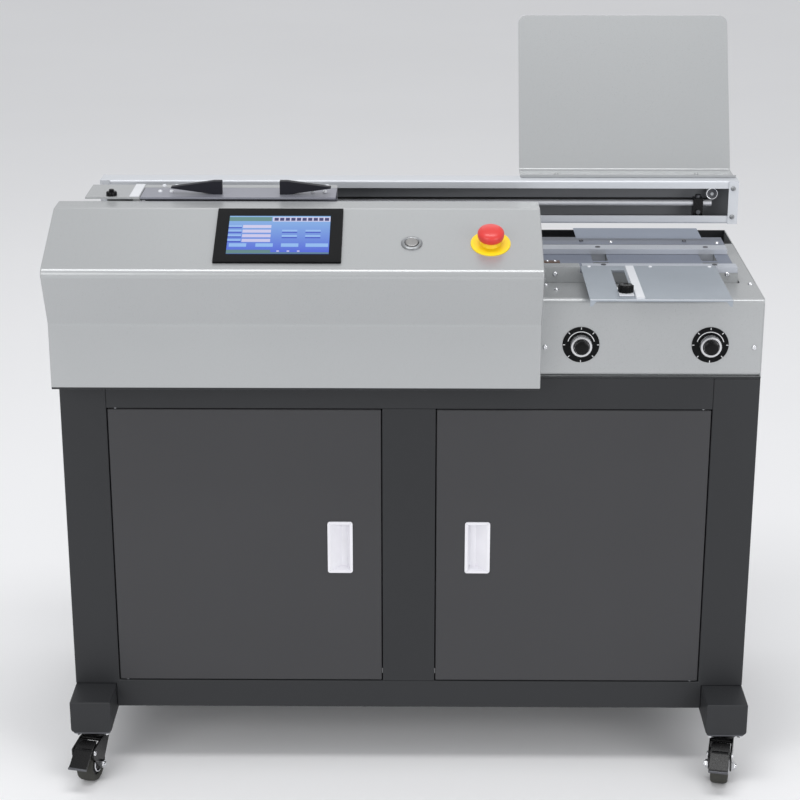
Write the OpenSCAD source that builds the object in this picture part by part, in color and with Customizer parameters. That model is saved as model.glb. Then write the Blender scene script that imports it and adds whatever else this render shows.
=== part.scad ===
// Perfect binding machine on a cabinet with casters.
// Origin: floor level, centre of the footprint. +X is the machine's right, -Y its front, +Z up. Millimetres.

/* [Cabinet] */
// Width over the cabinet's sides
cabinet_w = 1090; // [1060:5:1200]
// Depth from the door plane to the back of the frame
cabinet_d = 430; // [410:5:480]
// Distance of the door plane in front of the origin
door_plane = 175; // [150:5:200]
// Height of the corner posts
post_h = 529; // [450:1:600]
// Width of a corner post
post_w = 72; // [60:1:90]
// Depth of a corner post
post_d = 50; // [40:1:70]
// Height of the top rails
top_rail_h = 51; // [40:1:70]
// Height of the bottom rails
bottom_rail_h = 48; // [40:1:52]
// Rise of the bottom rails' top above the foot beams
rail_rise = 7; // [4:1:12]
// Depth of the rails and of the stile
rail_d = 30; // [26:1:40]
// Width of the stile between the doors
stile_w = 84; // [60:1:110]
// Wall of the frame's tubes
tube_t = 3; // [2:0.5:4]
// Sheet of the sides, the floor and the back panel
sheet_t = 2; // [1.5:0.5:3]
// Thickness of the deck plate
deck_t = 4; // [3:0.5:8]

/* [Feet and casters] */
// Width of a foot beam
foot_w = 66; // [62:1:80]
// Height of a foot beam
foot_h = 54; // [48:1:62]
// Overhang of the foot beams in front of the doors
foot_front = 68; // [50:1:72]
// Overhang of the foot beams behind the frame
foot_rear = 30; // [10:1:40]
// Height of a caster from the floor to the foot beam
caster_h = 90; // [89:1:110]
// Diameter of a caster wheel
wheel_d = 60; // [54:1:64]
// Width of a caster wheel's tread
wheel_w = 28; // [24:1:34]
// Horizontal offset of the wheel's axle from the swivel axis
caster_trail = 24; // [20:1:30]
// Diameter of a caster's axle
axle_d = 8; // [6:0.5:10]
// Diameter of a caster's kingpin
kingpin_d = 12; // [10:0.5:14]
// Distance of the swivel axes from the ends of the foot beams
caster_inset = 36; // [34:1:60]

/* [Doors] */
// Gap round a door
door_gap = 1.5; // [1.5:0.1:3]
// Thickness of a door pan
door_t = 18; // [16:1:24]
// Sheet of a door pan
door_sheet = 1.5; // [1:0.1:2]
// Distance of the pivot from the door's outer edge
pivot_in = 12; // [12:0.5:20]
// Distance of the pivot behind the door's face
pivot_back = 5; // [4:0.5:5]
// Diameter of a pivot pin
pivot_d = 5; // [4:0.5:5]
// Width of a recessed pull
pull_w = 40; // [32:1:50]
// Height of a recessed pull
pull_h = 88; // [70:1:100]
// Distance of the pulls' centre from the doors' free edges
pull_in = 66; // [40:1:100]
// Depth of the pulls' cups behind the doors' face
pull_depth = 13; // [8:0.5:14]

/* [Console] */
// Overhang of the console's front face in front of the doors
console_front = 62; // [50:1:70]
// Height of the console's front face
console_face_h = 100; // [80:1:120]
// Overhang of the console's bend in front of its face
bend_out = 42; // [30:1:46]
// Height of the bend above the front face
bend_h = 92; // [70:1:110]
// Depth of the control slope
slope_run = 146; // [142:1:160]
// Rise of the control slope
slope_rise = 63; // [55:1:70]
// Depth of the console's flat top
console_top_d = 48; // [44:1:60]
// Distance of the console's right end from the machine's centre
console_right = 200; // [180:5:215]
// Sheet of the covers
cover_t = 2; // [1.5:0.1:3]
// Height of the side wall behind the console above the deck
side_wall_h = 150; // [120:1:160]

/* [Controls] */
// Width of the touch screen's bezel
bezel_w = 191; // [170:1:200]
// Height of the bezel along the slope
bezel_h = 131; // [120:1:134]
// Thickness of the bezel above the slope
bezel_t = 4; // [3:0.5:5]
// Distance of the bezel's centre left of the machine's centre
bezel_x = 196; // [180:1:220]
// Margin of the bezel above the console's bend
bezel_margin = 23; // [14:1:24]
// Width of the screen's glass
screen_w = 154; // [140:1:160]
// Height of the screen's glass
screen_h = 92; // [80:1:100]
// Distance of the power button right of the machine's centre
button_x = 4; // [-20:1:40]
// Distance of the emergency stop right of the machine's centre
stop_x = 122; // [100:1:140]
// Distance of both buttons above the bend, along the slope
button_s = 72; // [60:1:90]
// Diameter of the power button's ring
ring_d = 32; // [28:1:36]
// Diameter of the power button's cap
button_d = 20; // [16:0.5:22]
// Travel of the power button
button_travel = 3; // [2:0.5:4]
// Diameter of the emergency stop's disc
stop_disc_d = 60; // [54:1:66]
// Diameter of the emergency stop's mushroom
stop_d = 40; // [34:1:46]
// Diameter of the emergency stop's stem
stop_stem_d = 16; // [12:0.5:20]
// Travel of the emergency stop
stop_travel = 6; // [4:0.5:7]
// Diameter of a dial's plate
dial_d = 57; // [50:1:64]
// Diameter of a dial's knob
knob_d = 34; // [28:1:40]
// Diameter of a dial's shaft
dial_shaft_d = 6; // [5:0.5:8]
// Distance between the two dials
dial_pitch = 199; // [170:1:220]
// Height of the dials above the deck
dial_h = 51; // [40:1:70]

/* [Cover station] */
// Height of the cover tables above the deck
table_h = 149; // [140:1:150]
// Height of the right cover's top above the deck
right_top_h = 124; // [110:1:126]
// Depth of the right cover's top
right_top_d = 92; // [84:1:92]
// Height of the nip bars
nip_bar_h = 9; // [6:0.5:10]
// Depth of the front nip bar
front_bar_d = 24; // [20:1:28]
// Depth of the rear nip bar
rear_bar_d = 28; // [22:1:30]
// Half of the open nip
nip_open = 44; // [42:1:46]
// Travel of each nip bar
nip_travel = 40; // [30:1:41]
// Thickness of the nip floor
nip_floor_t = 12; // [8:1:16]
// Diameter of the nip guide rods
nip_rod_d = 12; // [8:0.5:14]
// Distance of the nip guide rods from the ends of the nip bars
nip_rod_in = 34; // [28:1:50]
// Depth of the fixed rear bar
rear_block_d = 49; // [44:1:60]
// Width of the front cover table
table_w = 212; // [190:1:214]
// Overhang of the front table in front of the doors
table_front = 92; // [84:1:110]
// Depth of the rear cover table
rear_table_d = 70; // [50:1:110]
// Thickness of the cover tables
table_t = 2; // [1.5:0.5:2.5]
// Width of the gauge slot
gauge_slot_w = 20; // [14:0.5:21]
// Travel of the side gauge
gauge_travel = 100; // [50:1:110]

/* [Beam and tray] */
// Width of the open trough between the console and the beam
trough_w = 160; // [155:1:180]
// Depth of the beam
beam_d = 55; // [50:1:60]
// Height of the beam
beam_h = 71; // [66:1:84]
// Depth of the beam's top below the console's top
beam_drop = 3.5; // [1:0.5:6]
// Bevel along the beam's upper back edge
beam_bevel = 14; // [8:1:16]
// Sheet of the beam
beam_t = 3; // [2:0.5:4]
// Height of the beam's upper front lip
upper_lip_h = 12.5; // [8:0.5:13]
// Height of the beam's lower front lip
lower_lip_h = 13; // [12:1:18]
// Distance of the beam's left end from the machine's centre
beam_left = 505; // [500:1:520]
// Distance of the beam's right end from the machine's centre
beam_right = 535; // [525:1:545]
// Diameter of the guide rod
rod_d = 10; // [8:0.5:12]
// Diameter of the belt pulleys
pulley_d = 16; // [14:0.5:20]
// Width of the belt
belt_w = 8; // [6:0.5:10]
// Thickness of the belt
belt_t = 1.6; // [1:0.1:2]
// Width of the document tray
tray_w = 350; // [300:1:370]
// Length of the document tray's back
tray_len = 268; // [230:1:300]
// Lean of the document tray from upright, in degrees
tray_lean = 27; // [15:1:35]
// Depth of the document tray's ledge
tray_ledge = 50; // [36:1:60]
// Sheet of the document tray
tray_t = 2; // [1.5:0.1:3]
// Distance of the document tray's bend behind the beam
tray_back = 20; // [10:1:30]
// Corner radius of the document tray
tray_r = 14; // [8:1:30]

/* [Clamp carriage] */
// Distance of the book slot behind the console
slot_back = 71; // [66:1:76]
// Length of the carriage plate
carriage_len = 390; // [380:1:400]
// Length of the clamp jaws
jaw_len = 304; // [290:1:310]
// Thickness of a jaw
jaw_t = 12; // [8:1:14]
// Height of a jaw
jaw_h = 98; // [90:1:99]
// Thickness of the carriage's plates
plate_t = 3; // [2:0.5:4]
// Lift of the carriage above the console's top
plate_lift = 1.5; // [1:0.1:3]
// Opening of the clamp
jaw_travel = 45; // [30:1:46]
// Travel of the carriage along the beam
carriage_travel = 600; // [500:10:600]
// Diameter of the jaw's guide pins
jaw_pin_d = 8; // [6:0.5:10]
// Length of a black book guide
guide_len = 80; // [60:1:90]
// Height of a black book guide
guide_h = 21; // [14:1:28]
// Thickness of a black book guide
guide_t = 12; // [8:1:16]

/* [Milling and gluing] */
// Diameter of the milling cutter
cutter_d = 110; // [90:1:118]
// Thickness of the milling cutter
cutter_t = 6; // [4:0.5:10]
// Distance of the cutter's axis left of the machine's centre
cutter_x = 45; // [40:1:60]
// Diameter of the cutter's shaft
cutter_shaft_d = 14; // [10:0.5:18]
// Diameter of the milling motor
mill_motor_d = 90; // [70:1:100]
// Clearance of the cutter and the rollers below the jaws
work_gap = 6; // [4:0.5:10]
// Diameter of a glue roller
roller_d = 50; // [40:1:52]
// Length of a glue roller
roller_len = 60; // [40:1:70]
// Distance between the glue rollers
roller_pitch = 56; // [54:1:60]
// Distance of the first roller right of the machine's centre
roller_x = 85; // [80:1:90]
// Diameter of a roller's shaft
roller_shaft_d = 10; // [8:0.5:14]
// Wall of the glue pot
pot_t = 4; // [3:0.5:6]
// Height of the glue pot
pot_h = 70; // [60:1:74]
// Height of the chip bin
bin_h = 200; // [150:5:300]

/* [Fits] */
// Radial clearance of a running fit
run_fit = 0.05; // [0.02:0.01:0.09]
// Radial clearance of a seat that is pressed or screwed
seat_fit = 0.02; // [0.01:0.01:0.04]
// Clearance between sliding flat faces
slide_gap = 0.4; // [0.3:0.05:0.6]
// Diameter of the cover screws
screw_d = 4; // [3:0.5:5]

/* [Hidden] */
$fn = 64;

charcoal = [0.25, 0.26, 0.27];
silver = [0.72, 0.73, 0.74];
steel = [0.62, 0.63, 0.65];
black = [0.06, 0.06, 0.07];

// A cut runs past the face that it opens by this much
cut = 1;

// Levels and planes of the cabinet
side_x = cabinet_w / 2;
door_y = -door_plane;
back_y = door_y + cabinet_d;
foot_top = caster_h + foot_h;
cabinet_top = foot_top + post_h;
deck_top = cabinet_top + deck_t;
rail_top = foot_top + rail_rise;
rail_z = rail_top - bottom_rail_h;
opening_top = cabinet_top - top_rail_h;
opening_x = side_x - post_w;
foot_x = side_x - foot_w / 2;

// Casters
wheel_r = wheel_d / 2;
front_caster_y = door_y - foot_front + caster_inset;
rear_caster_y = back_y + foot_rear - caster_inset;
plate_under = caster_h - 3;
crown_z = wheel_d + 7;
crown_t = 6;
leg_in = wheel_w / 2 + 2;
leg_t = 3;
pedal_y = caster_trail + 24;
pedal_z = crown_z - 6;
pedal_pin_d = 5;
// Directions in which the wheels trail, in degrees from +Y
left_front_heading = 166;
right_front_heading = 168;
left_rear_heading = 170;
right_rear_heading = 196;

// Doors
door_w = opening_x - stile_w / 2 - 2 * door_gap;
door_h = opening_top - rail_top - 2 * door_gap;
door_z = rail_top + door_gap;
pivot_x = opening_x - door_gap - pivot_in;
pivot_y = door_y + pivot_back;
pull_x = stile_w / 2 + door_gap + pull_in;
pull_z = door_z + door_h * 0.503;
pull_lip = 4;
pull_wall = 2;
boss_h = 14;

// Console section, from the deck up
face_y = door_y - console_front;
bend_y = face_y - bend_out;
bend_z = deck_top + console_face_h + bend_h;
slope_top_y = bend_y + slope_run;
console_top = bend_z + slope_rise;
console_rear_y = slope_top_y + console_top_d;
slope_angle = atan2(slope_rise, slope_run);
flange = 24;
barrel_d = button_d + 3;
collar_d = stop_stem_d + 8;

// Right cover
right_top = deck_top + right_top_h;
right_rear_y = door_y + right_top_d;
right_bevel = 6;
// The right cover is at least wide enough for its row of dials and screws
dial_in = 65;
screw_in = 10;
screw_edge = 13;
dial_clear = dial_d / 2 + screw_d + 1;
dial_row_w = screw_in + 2 * dial_clear + dial_pitch + screw_edge;
console_end = min(console_right, side_x - dial_row_w);
dial_x = min(console_end + dial_in, side_x - screw_edge - dial_clear - dial_pitch);
dial_z = deck_top + dial_h;
dial_plate_t = 1.5;
dial_neck_d = dial_shaft_d + 4;
knob_len = 20;
screw_head_d = 2 * screw_d;
screw_head_t = 2.5;

// Beam, rod and belt
beam_y = console_rear_y + trough_w;
beam_back_y = beam_y + beam_d;
beam_top = console_top - beam_drop;
beam_z = beam_top - beam_h;
rod_y = beam_y + 20;
rod_low = 5.5;
rod_z = (beam_z + lower_lip_h + beam_top - upper_lip_h) / 2 - rod_low;
bush_r = rod_d / 2 + 4;
support_w = 16;
pulley_w = belt_w + 2;
pulley_y = rod_y + bush_r + 4;
pulley_z = rod_z + 12;
drive_x = -beam_left + 27;
pulley_axle_d = 6;
belt_r = pulley_d / 2 + 0.3;
motor_w = 2 * (beam_top - pulley_z) - 26;
motor_len = 40;
post_x = [-beam_left + 35, console_end - 50];
beam_post_w = 40;

// Clamp carriage, closed and at the left end of its travel
slot_y = console_rear_y + slot_back;
slot_gap = 1;
plate_z = console_top + plate_lift;
plate_top = plate_z + plate_t;
rear_plate_d = jaw_t + 8;
carriage_left = -beam_left;
carriage_right = carriage_left + carriage_len;
jaw_left = carriage_right - jaw_len;
jaw_bottom = plate_z - jaw_h;
wing_y = console_rear_y + 5;
arm_w = 40;
arm_in = [24, 85];
arm_x = [carriage_left + arm_in[0], carriage_right - arm_in[1]];
support_gap = 24;
support_x = arm_x[1] + arm_w + carriage_travel + support_gap;
// The beam reaches past the right rod clamp, with room for the rod's end and the idler
support_tail = 55;
beam_end = max(beam_right, support_x + support_w + support_tail);
rod_right = beam_end - 40;
idler_x = beam_end - 38;
jaw_pin_x = [jaw_left + 10, carriage_right - 10];
jaw_pin_z = plate_z - 24;
jaw_pin_y = slot_y - slot_gap / 2 - jaw_t - jaw_travel - 6;

// Cover station, with the nip open
table_top = deck_top + table_h;
nip_floor = table_top - nip_bar_h;
nip_front_y = right_rear_y + 1;
front_bar_y = slot_y - nip_open - front_bar_d;
rear_bar_y = slot_y + nip_open;
rear_block_y = rear_bar_y + rear_bar_d + 1;
nip_rear_y = rear_block_y + rear_block_d;
nip_in = 3;
nip_edge = 29;
bar_in = 72;
bar_edge = 30;
nip_left = console_end + nip_in;
nip_right = side_x - nip_edge;
bar_left = console_end + bar_in;
bar_right = side_x - bar_edge;
wall_gap = 3;
wall_tail = 55;
front_wall_t = 8;
nip_rod_z = nip_floor - nip_floor_t - nip_rod_d / 2 - 8;
nip_rods = [bar_left + nip_rod_in, bar_right - nip_rod_in];
block_w = nip_rod_d + 12;
block_in = 2;
leg_w = block_w + 6;
table_left = bar_left - 3;
table_y = door_y - table_front;
rebate = 8;
gauge_in = 56;
gauge_front = 37;
gauge_x = table_left + gauge_in;
gauge_y = table_y + gauge_front;

// Milling and gluing stations
work_z = jaw_bottom - work_gap;
cutter_z = work_z - cutter_t;
cutter_hub_h = 14;
mill_top = cutter_z - cutter_hub_h - 8;
roller_z = work_z - roller_d / 2;
pot_top = roller_z + roller_shaft_d / 2 + 5;
pot_margin = 6;
rollers = [roller_x, roller_x + roller_pitch];
pot_x = rollers[0] - roller_d / 2 - pot_margin - pot_t;
pot_w = roller_pitch + roller_d + 2 * (pot_margin + pot_t);
pot_in_d = roller_len + 2 * slide_gap;

// Sheet of thickness t that follows the points p, laid on their left side
function left_normal(a, b) = let (d = (b - a) / norm(b - a)) [-d.y, d.x];
function sheet_side(p, t) = [for (i = [0 : len(p) - 1])
    let (n0 = i == 0 ? left_normal(p[0], p[1]) : left_normal(p[i - 1], p[i]))
    let (n1 = i == len(p) - 1 ? n0 : left_normal(p[i], p[i + 1]))
    p[i] + t * (n0 + n1) / (1 + n0 * n1)];
function reversed(p) = [for (i = [len(p) - 1 : -1 : 0]) p[i]];
function sheet(p, t) = concat(p, reversed(sheet_side(p, t)));

// Box from its least corner
module box(x, y, z, w, d, h) {
    translate([x, y, z])
        cube([w, d, h]);
}

// Section in the YZ plane, extruded along X from x over the width w
module along_x(x, w) {
    translate([x, 0, 0])
        rotate([90, 0, 90])
            linear_extrude(w)
                children();
}

// Upright round bar from z over the height h
module bar_z(x, y, z, d, h) {
    translate([x, y, z])
        cylinder(d = d, h = h);
}

// Round bar along +Y from y over the length len
module bar_y(x, y, z, d, len) {
    translate([x, y, z])
        rotate([-90, 0, 0])
            cylinder(d = d, h = len);
}

// Round bar along +X from x over the length len
module bar_x(x, y, z, d, len) {
    translate([x, y, z])
        rotate([0, 90, 0])
            cylinder(d = d, h = len);
}

// Plate with round corners, centred on the Z axis
module round_plate(w, d, t, r) {
    translate([-w / 2 + r, -d / 2, 0])
        cube([w - 2 * r, d, t]);
    translate([-w / 2, -d / 2 + r, 0])
        cube([w, d - 2 * r, t]);
    for (sx = [-1, 1], sy = [-1, 1])
        translate([sx * (w / 2 - r), sy * (d / 2 - r), 0])
            cylinder(r = r, h = t);
}

// Frame on the control slope: X across, Y up the slope from the bend, Z out of the sheet
module on_slope(x, s) {
    translate([x, bend_y, bend_z])
        rotate([slope_angle, 0, 0])
            translate([0, s, 0])
                children();
}

// Welded cabinet: posts, rails and stile of tube, with side sheets and a floor
module cabinet_frame() {
    rail_len = 2 * (side_x - foot_w);
    color(charcoal)
        difference() {
            union() {
                for (x = [-side_x, opening_x], y = [door_y, back_y - post_d])
                    box(x, y, foot_top, post_w, post_d, post_h);
                for (y = [door_y, back_y - rail_d]) {
                    box(-rail_len / 2, y, rail_z, rail_len, rail_d, bottom_rail_h);
                    box(-opening_x, y, opening_top, 2 * opening_x, rail_d, top_rail_h);
                }
                box(-stile_w / 2, door_y, rail_z, stile_w, rail_d, cabinet_top - rail_z);
                for (x = [-side_x, side_x - sheet_t])
                    box(x, door_y + post_d - cut, foot_top,
                        sheet_t, cabinet_d - 2 * post_d + 2 * cut, post_h);
                box(-opening_x - cut, door_y + rail_d - cut, rail_top - sheet_t,
                    2 * opening_x + 2 * cut, cabinet_d - 2 * rail_d + 2 * cut, sheet_t);
                box(-side_x + sheet_t - cut, door_y + post_d - cut, rail_top - sheet_t,
                    cabinet_w - 2 * sheet_t + 2 * cut, cabinet_d - 2 * post_d + 2 * cut, sheet_t);
            }
            for (x = [-side_x, opening_x], y = [door_y, back_y - post_d])
                box(x + tube_t, y + tube_t, rail_top, post_w - 2 * tube_t, post_d - 2 * tube_t, post_h);
            for (y = [door_y, back_y - rail_d]) {
                box(-rail_len / 2 - cut, y + tube_t, rail_z + tube_t,
                    rail_len + 2 * cut, rail_d - 2 * tube_t, bottom_rail_h - 2 * tube_t);
                box(-opening_x - tube_t - cut, y + tube_t, opening_top + tube_t,
                    2 * (opening_x + tube_t + cut), rail_d - 2 * tube_t, top_rail_h - 2 * tube_t);
            }
            box(-stile_w / 2 + tube_t, door_y + tube_t, rail_z + tube_t,
                stile_w - 2 * tube_t, rail_d - 2 * tube_t, cabinet_top - rail_z - 2 * tube_t);
            for (sx = [-1, 1]) {
                bar_z(sx * pivot_x, pivot_y, opening_top - cut, pivot_d + 2 * seat_fit, tube_t + 2 * cut);
                bar_z(sx * pivot_x, pivot_y, rail_top - tube_t - cut,
                    pivot_d + 2 * seat_fit, tube_t + 2 * cut);
            }
        }
}

// Two closed foot beams under the posts, open at the rear
module foot_beams() {
    foot_y = door_y - foot_front;
    foot_len = cabinet_d + foot_front + foot_rear;
    color(charcoal)
        for (sx = [-1, 1])
            difference() {
                box(sx * foot_x - foot_w / 2, foot_y, caster_h, foot_w, foot_len, foot_h);
                box(sx * foot_x - foot_w / 2 + tube_t, foot_y + tube_t, caster_h + tube_t,
                    foot_w - 2 * tube_t, foot_len, foot_h - 2 * tube_t);
            }
}

inlet_w = 50;
inlet_h = 30;
inlet_in = 145;
inlet_rise = 68;
inlet_x = side_x - inlet_in;
inlet_z = rail_top + inlet_rise;
inlet_flange = 6;

// Back panel over the cabinet and the machinery above it, with the inlet's window
module back_panel() {
    color(charcoal)
        difference() {
            box(-side_x, back_y, foot_top, cabinet_w, sheet_t, right_top - foot_top);
            box(inlet_x - inlet_w / 2, back_y - cut, inlet_z - inlet_h / 2,
                inlet_w, sheet_t + 2 * cut, inlet_h);
        }
}

// Power inlet with a flange on the outside of the back panel and a socket with three pins' room
module power_inlet() {
    depth = 26;
    flange_w = inlet_w + 2 * inlet_flange;
    flange_h = inlet_h + 2 * inlet_flange;
    body_w = inlet_w - 2 * slide_gap;
    body_h = inlet_h - 2 * slide_gap;
    color(black)
        difference() {
            union() {
                box(inlet_x - flange_w / 2, back_y + sheet_t, inlet_z - flange_h / 2, flange_w, 3, flange_h);
                box(inlet_x - body_w / 2, back_y + sheet_t - depth, inlet_z - body_h / 2,
                    body_w, depth + cut, body_h);
            }
            box(inlet_x - 13, back_y + sheet_t - depth + 6, inlet_z - 9, 26, depth + 3, 18);
        }
}

// Deck plate that carries the machinery, wider in front under the console
module deck_plate() {
    color(silver)
        translate([0, 0, cabinet_top])
            linear_extrude(deck_t)
                polygon([[-side_x, face_y + cover_t], [console_end - cover_t, face_y + cover_t],
                    [console_end - cover_t, door_y], [side_x, door_y], [side_x, back_y],
                    [-side_x, back_y]]);
}

// Four door pivot pins, set in the rails
module hinge_pins() {
    pin_len = tube_t + door_gap + boss_h - 4;
    color(steel)
        for (sx = [-1, 1]) {
            bar_z(sx * pivot_x, pivot_y, opening_top + tube_t - pin_len, pivot_d, pin_len);
            bar_z(sx * pivot_x, pivot_y, rail_top - tube_t, pivot_d, pin_len);
        }
}

// Open chip bin on the cabinet's floor
module chip_bin() {
    bin_side = 40;
    bin_x = -opening_x + bin_side;
    bin_w = opening_x - stile_w / 2 - 2 * bin_side;
    bin_y = door_y + post_d + 15;
    bin_d = cabinet_d - 2 * post_d - 30;
    color(silver)
        difference() {
            box(bin_x, bin_y, rail_top, bin_w, bin_d, bin_h);
            box(bin_x + sheet_t, bin_y + sheet_t, rail_top + sheet_t,
                bin_w - 2 * sheet_t, bin_d - 2 * sheet_t, bin_h);
        }
}

// Door pan whose outer edge carries two pivot bosses, for the left side
module door_pan() {
    door_x = -opening_x + door_gap;
    boss_w = 2 * pivot_in - door_gap;
    difference() {
        union() {
            difference() {
                box(door_x, door_y, door_z, door_w, door_t, door_h);
                box(door_x + door_sheet, door_y + door_sheet, door_z + door_sheet,
                    door_w - 2 * door_sheet, door_t, door_h - 2 * door_sheet);
            }
            for (z = [door_z, door_z + door_h - boss_h])
                box(door_x, door_y, z, boss_w, door_t - 4, boss_h);
        }
        for (z = [door_z - cut, door_z + door_h - boss_h - cut])
            bar_z(-pivot_x, pivot_y, z, pivot_d + 2 * run_fit, boss_h + 2 * cut);
        box(-pull_x - pull_w / 2 + pull_lip, door_y - cut, pull_z - pull_h / 2 + pull_lip,
            pull_w - 2 * pull_lip, door_sheet + 2 * cut, pull_h - 2 * pull_lip);
    }
}

// Recessed pull, a lipped cup set in the door's window, for the left side
module door_pull() {
    cup_w = pull_w - 2 * pull_lip - 2 * slide_gap;
    cup_h = pull_h - 2 * pull_lip - 2 * slide_gap;
    translate([-pull_x, door_y, pull_z])
        rotate([90, 0, 0])
            difference() {
                union() {
                    round_plate(pull_w, pull_h, pull_wall, pull_lip);
                    translate([-cup_w / 2, -cup_h / 2, -pull_depth])
                        cube([cup_w, cup_h, pull_depth + pull_wall / 2]);
                }
                translate([-cup_w / 2 + pull_wall, -cup_h / 2 + pull_wall, pull_wall - pull_depth])
                    cube([cup_w - 2 * pull_wall, cup_h - 2 * pull_wall, pull_depth + pull_wall]);
            }
}

module left_door() {
    color(charcoal)
        door_pan();
}

module right_door() {
    color(charcoal)
        mirror([1, 0, 0])
            door_pan();
}

module left_handle() {
    color("white")
        door_pull();
}

module right_handle() {
    color("white")
        mirror([1, 0, 0])
            door_pull();
}

end_t = 4;
end_flange = 16;
glass_t = 2;
bezel_r = 4;
bezel_tub = 16;
bezel_s = bezel_margin + bezel_h / 2;
ring_t = 3;
button_proud = 0.5;
stop_disc_t = 2;
collar_h = 8;
stop_head_z = collar_h + stop_travel + 1;
stop_head_h = 7;
stop_dome = 6;
barrel_len = 24;

// Window through the sheet of the slope, centred on the local Z axis
module slope_window(w, h) {
    translate([-w / 2, -h / 2, -4 * cover_t])
        cube([w, h, 8 * cover_t]);
}

// Bent console cover with welded ends and windows for its controls
module console_cover() {
    section = [[console_rear_y, console_top - flange], [console_rear_y, console_top],
        [slope_top_y, console_top], [bend_y, bend_z], [face_y, deck_top + console_face_h],
        [face_y, deck_top], [face_y + flange, deck_top]];
    front = [section[1], section[2], section[3], section[4], section[5], [console_rear_y, deck_top]];
    wall = [[console_rear_y - cut, deck_top], [back_y, deck_top], [back_y, deck_top + side_wall_h],
        [console_rear_y - cut, deck_top + side_wall_h]];
    color(silver)
        difference() {
            union() {
                along_x(-side_x, side_x + console_end)
                    polygon(sheet(section, cover_t));
                for (x = [-side_x, console_end - cover_t])
                    along_x(x, cover_t)
                        polygon(front);
                along_x(-side_x, cover_t)
                    polygon(wall);
            }
            on_slope(-bezel_x, bezel_s)
                slope_window(bezel_w - bezel_tub, bezel_h - bezel_tub);
            on_slope(button_x, button_s)
                bar_z(0, 0, -4 * cover_t, barrel_d + 2 * seat_fit, 8 * cover_t);
            on_slope(stop_x, button_s)
                bar_z(0, 0, -4 * cover_t, collar_d + 2 * seat_fit, 8 * cover_t);
        }
}

// Touch panel's housing: a bezel on the slope and a tub behind it
module screen_bezel() {
    tub_w = bezel_w - bezel_tub - 2 * slide_gap;
    tub_h = bezel_h - bezel_tub - 2 * slide_gap;
    tub_d = 30;
    color(black)
        on_slope(-bezel_x, bezel_s)
            difference() {
                union() {
                    round_plate(bezel_w, bezel_h, bezel_t, bezel_r);
                    translate([-tub_w / 2, -tub_h / 2, -tub_d])
                        cube([tub_w, tub_h, tub_d + bezel_t / 2]);
                }
                translate([-screen_w / 2 - seat_fit, -screen_h / 2 - seat_fit, bezel_t - glass_t])
                    cube([screen_w + 2 * seat_fit, screen_h + 2 * seat_fit, 2 * glass_t]);
            }
}

module screen_glass() {
    color([0.15, 0.3, 0.75])
        on_slope(-bezel_x, bezel_s)
            translate([-screen_w / 2, -screen_h / 2, bezel_t - glass_t])
                cube([screen_w, screen_h, glass_t - 0.3]);
}

// Flanged barrel of the power button
module power_button_ring() {
    color(steel)
        on_slope(button_x, button_s)
            difference() {
                union() {
                    bar_z(0, 0, 0, ring_d, ring_t);
                    bar_z(0, 0, -barrel_len, barrel_d, barrel_len);
                }
                bar_z(0, 0, -barrel_len - cut, button_d + 2 * run_fit, barrel_len + ring_t + 2 * cut);
            }
}

module power_button() {
    color(silver)
        on_slope(button_x, button_s)
            bar_z(0, 0, button_travel - barrel_len, button_d,
                barrel_len - button_travel + ring_t + button_proud);
}

// Yellow disc and collar of the emergency stop
module estop_base() {
    color([0.95, 0.8, 0.1])
        on_slope(stop_x, button_s)
            difference() {
                union() {
                    bar_z(0, 0, 0, stop_disc_d, stop_disc_t);
                    bar_z(0, 0, -barrel_len, collar_d, barrel_len + collar_h);
                }
                bar_z(0, 0, -barrel_len - cut, stop_stem_d + 2 * run_fit, barrel_len + collar_h + 2 * cut);
            }
}

stop_pin_d = stop_stem_d - 6;
stop_pin_h = stop_head_h - 1;

// Stem of the emergency stop, which slides in the collar and carries the head on a pin
module estop_stem() {
    stem_z = stop_travel + 2 - barrel_len;
    color(black)
        on_slope(stop_x, button_s) {
            bar_z(0, 0, stem_z, stop_stem_d, stop_head_z - slide_gap - stem_z);
            bar_z(0, 0, stem_z, stop_pin_d, stop_head_z + stop_pin_h - slide_gap - stem_z);
        }
}

// Domed mushroom head, bored for the stem's pin
module estop_mushroom() {
    dome_r = (stop_d * stop_d / 4 + stop_dome * stop_dome) / (2 * stop_dome);
    color([0.8, 0.1, 0.08])
        on_slope(stop_x, button_s)
            difference() {
                union() {
                    bar_z(0, 0, stop_head_z, stop_d, stop_head_h);
                    intersection() {
                        translate([0, 0, stop_head_z + stop_head_h + stop_dome - dome_r])
                            sphere(r = dome_r);
                        bar_z(0, 0, stop_head_z + stop_head_h - cut, stop_d, stop_dome + 2 * cut);
                    }
                }
                bar_z(0, 0, stop_head_z - cut, stop_pin_d + 2 * run_fit, stop_pin_h + cut);
            }
}

function dial_xs() = [dial_x, dial_x + dial_pitch];
function front_screw_xs() = [console_end + screw_in, side_x - screw_edge];
front_screw_z = dial_z - 4;

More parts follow.
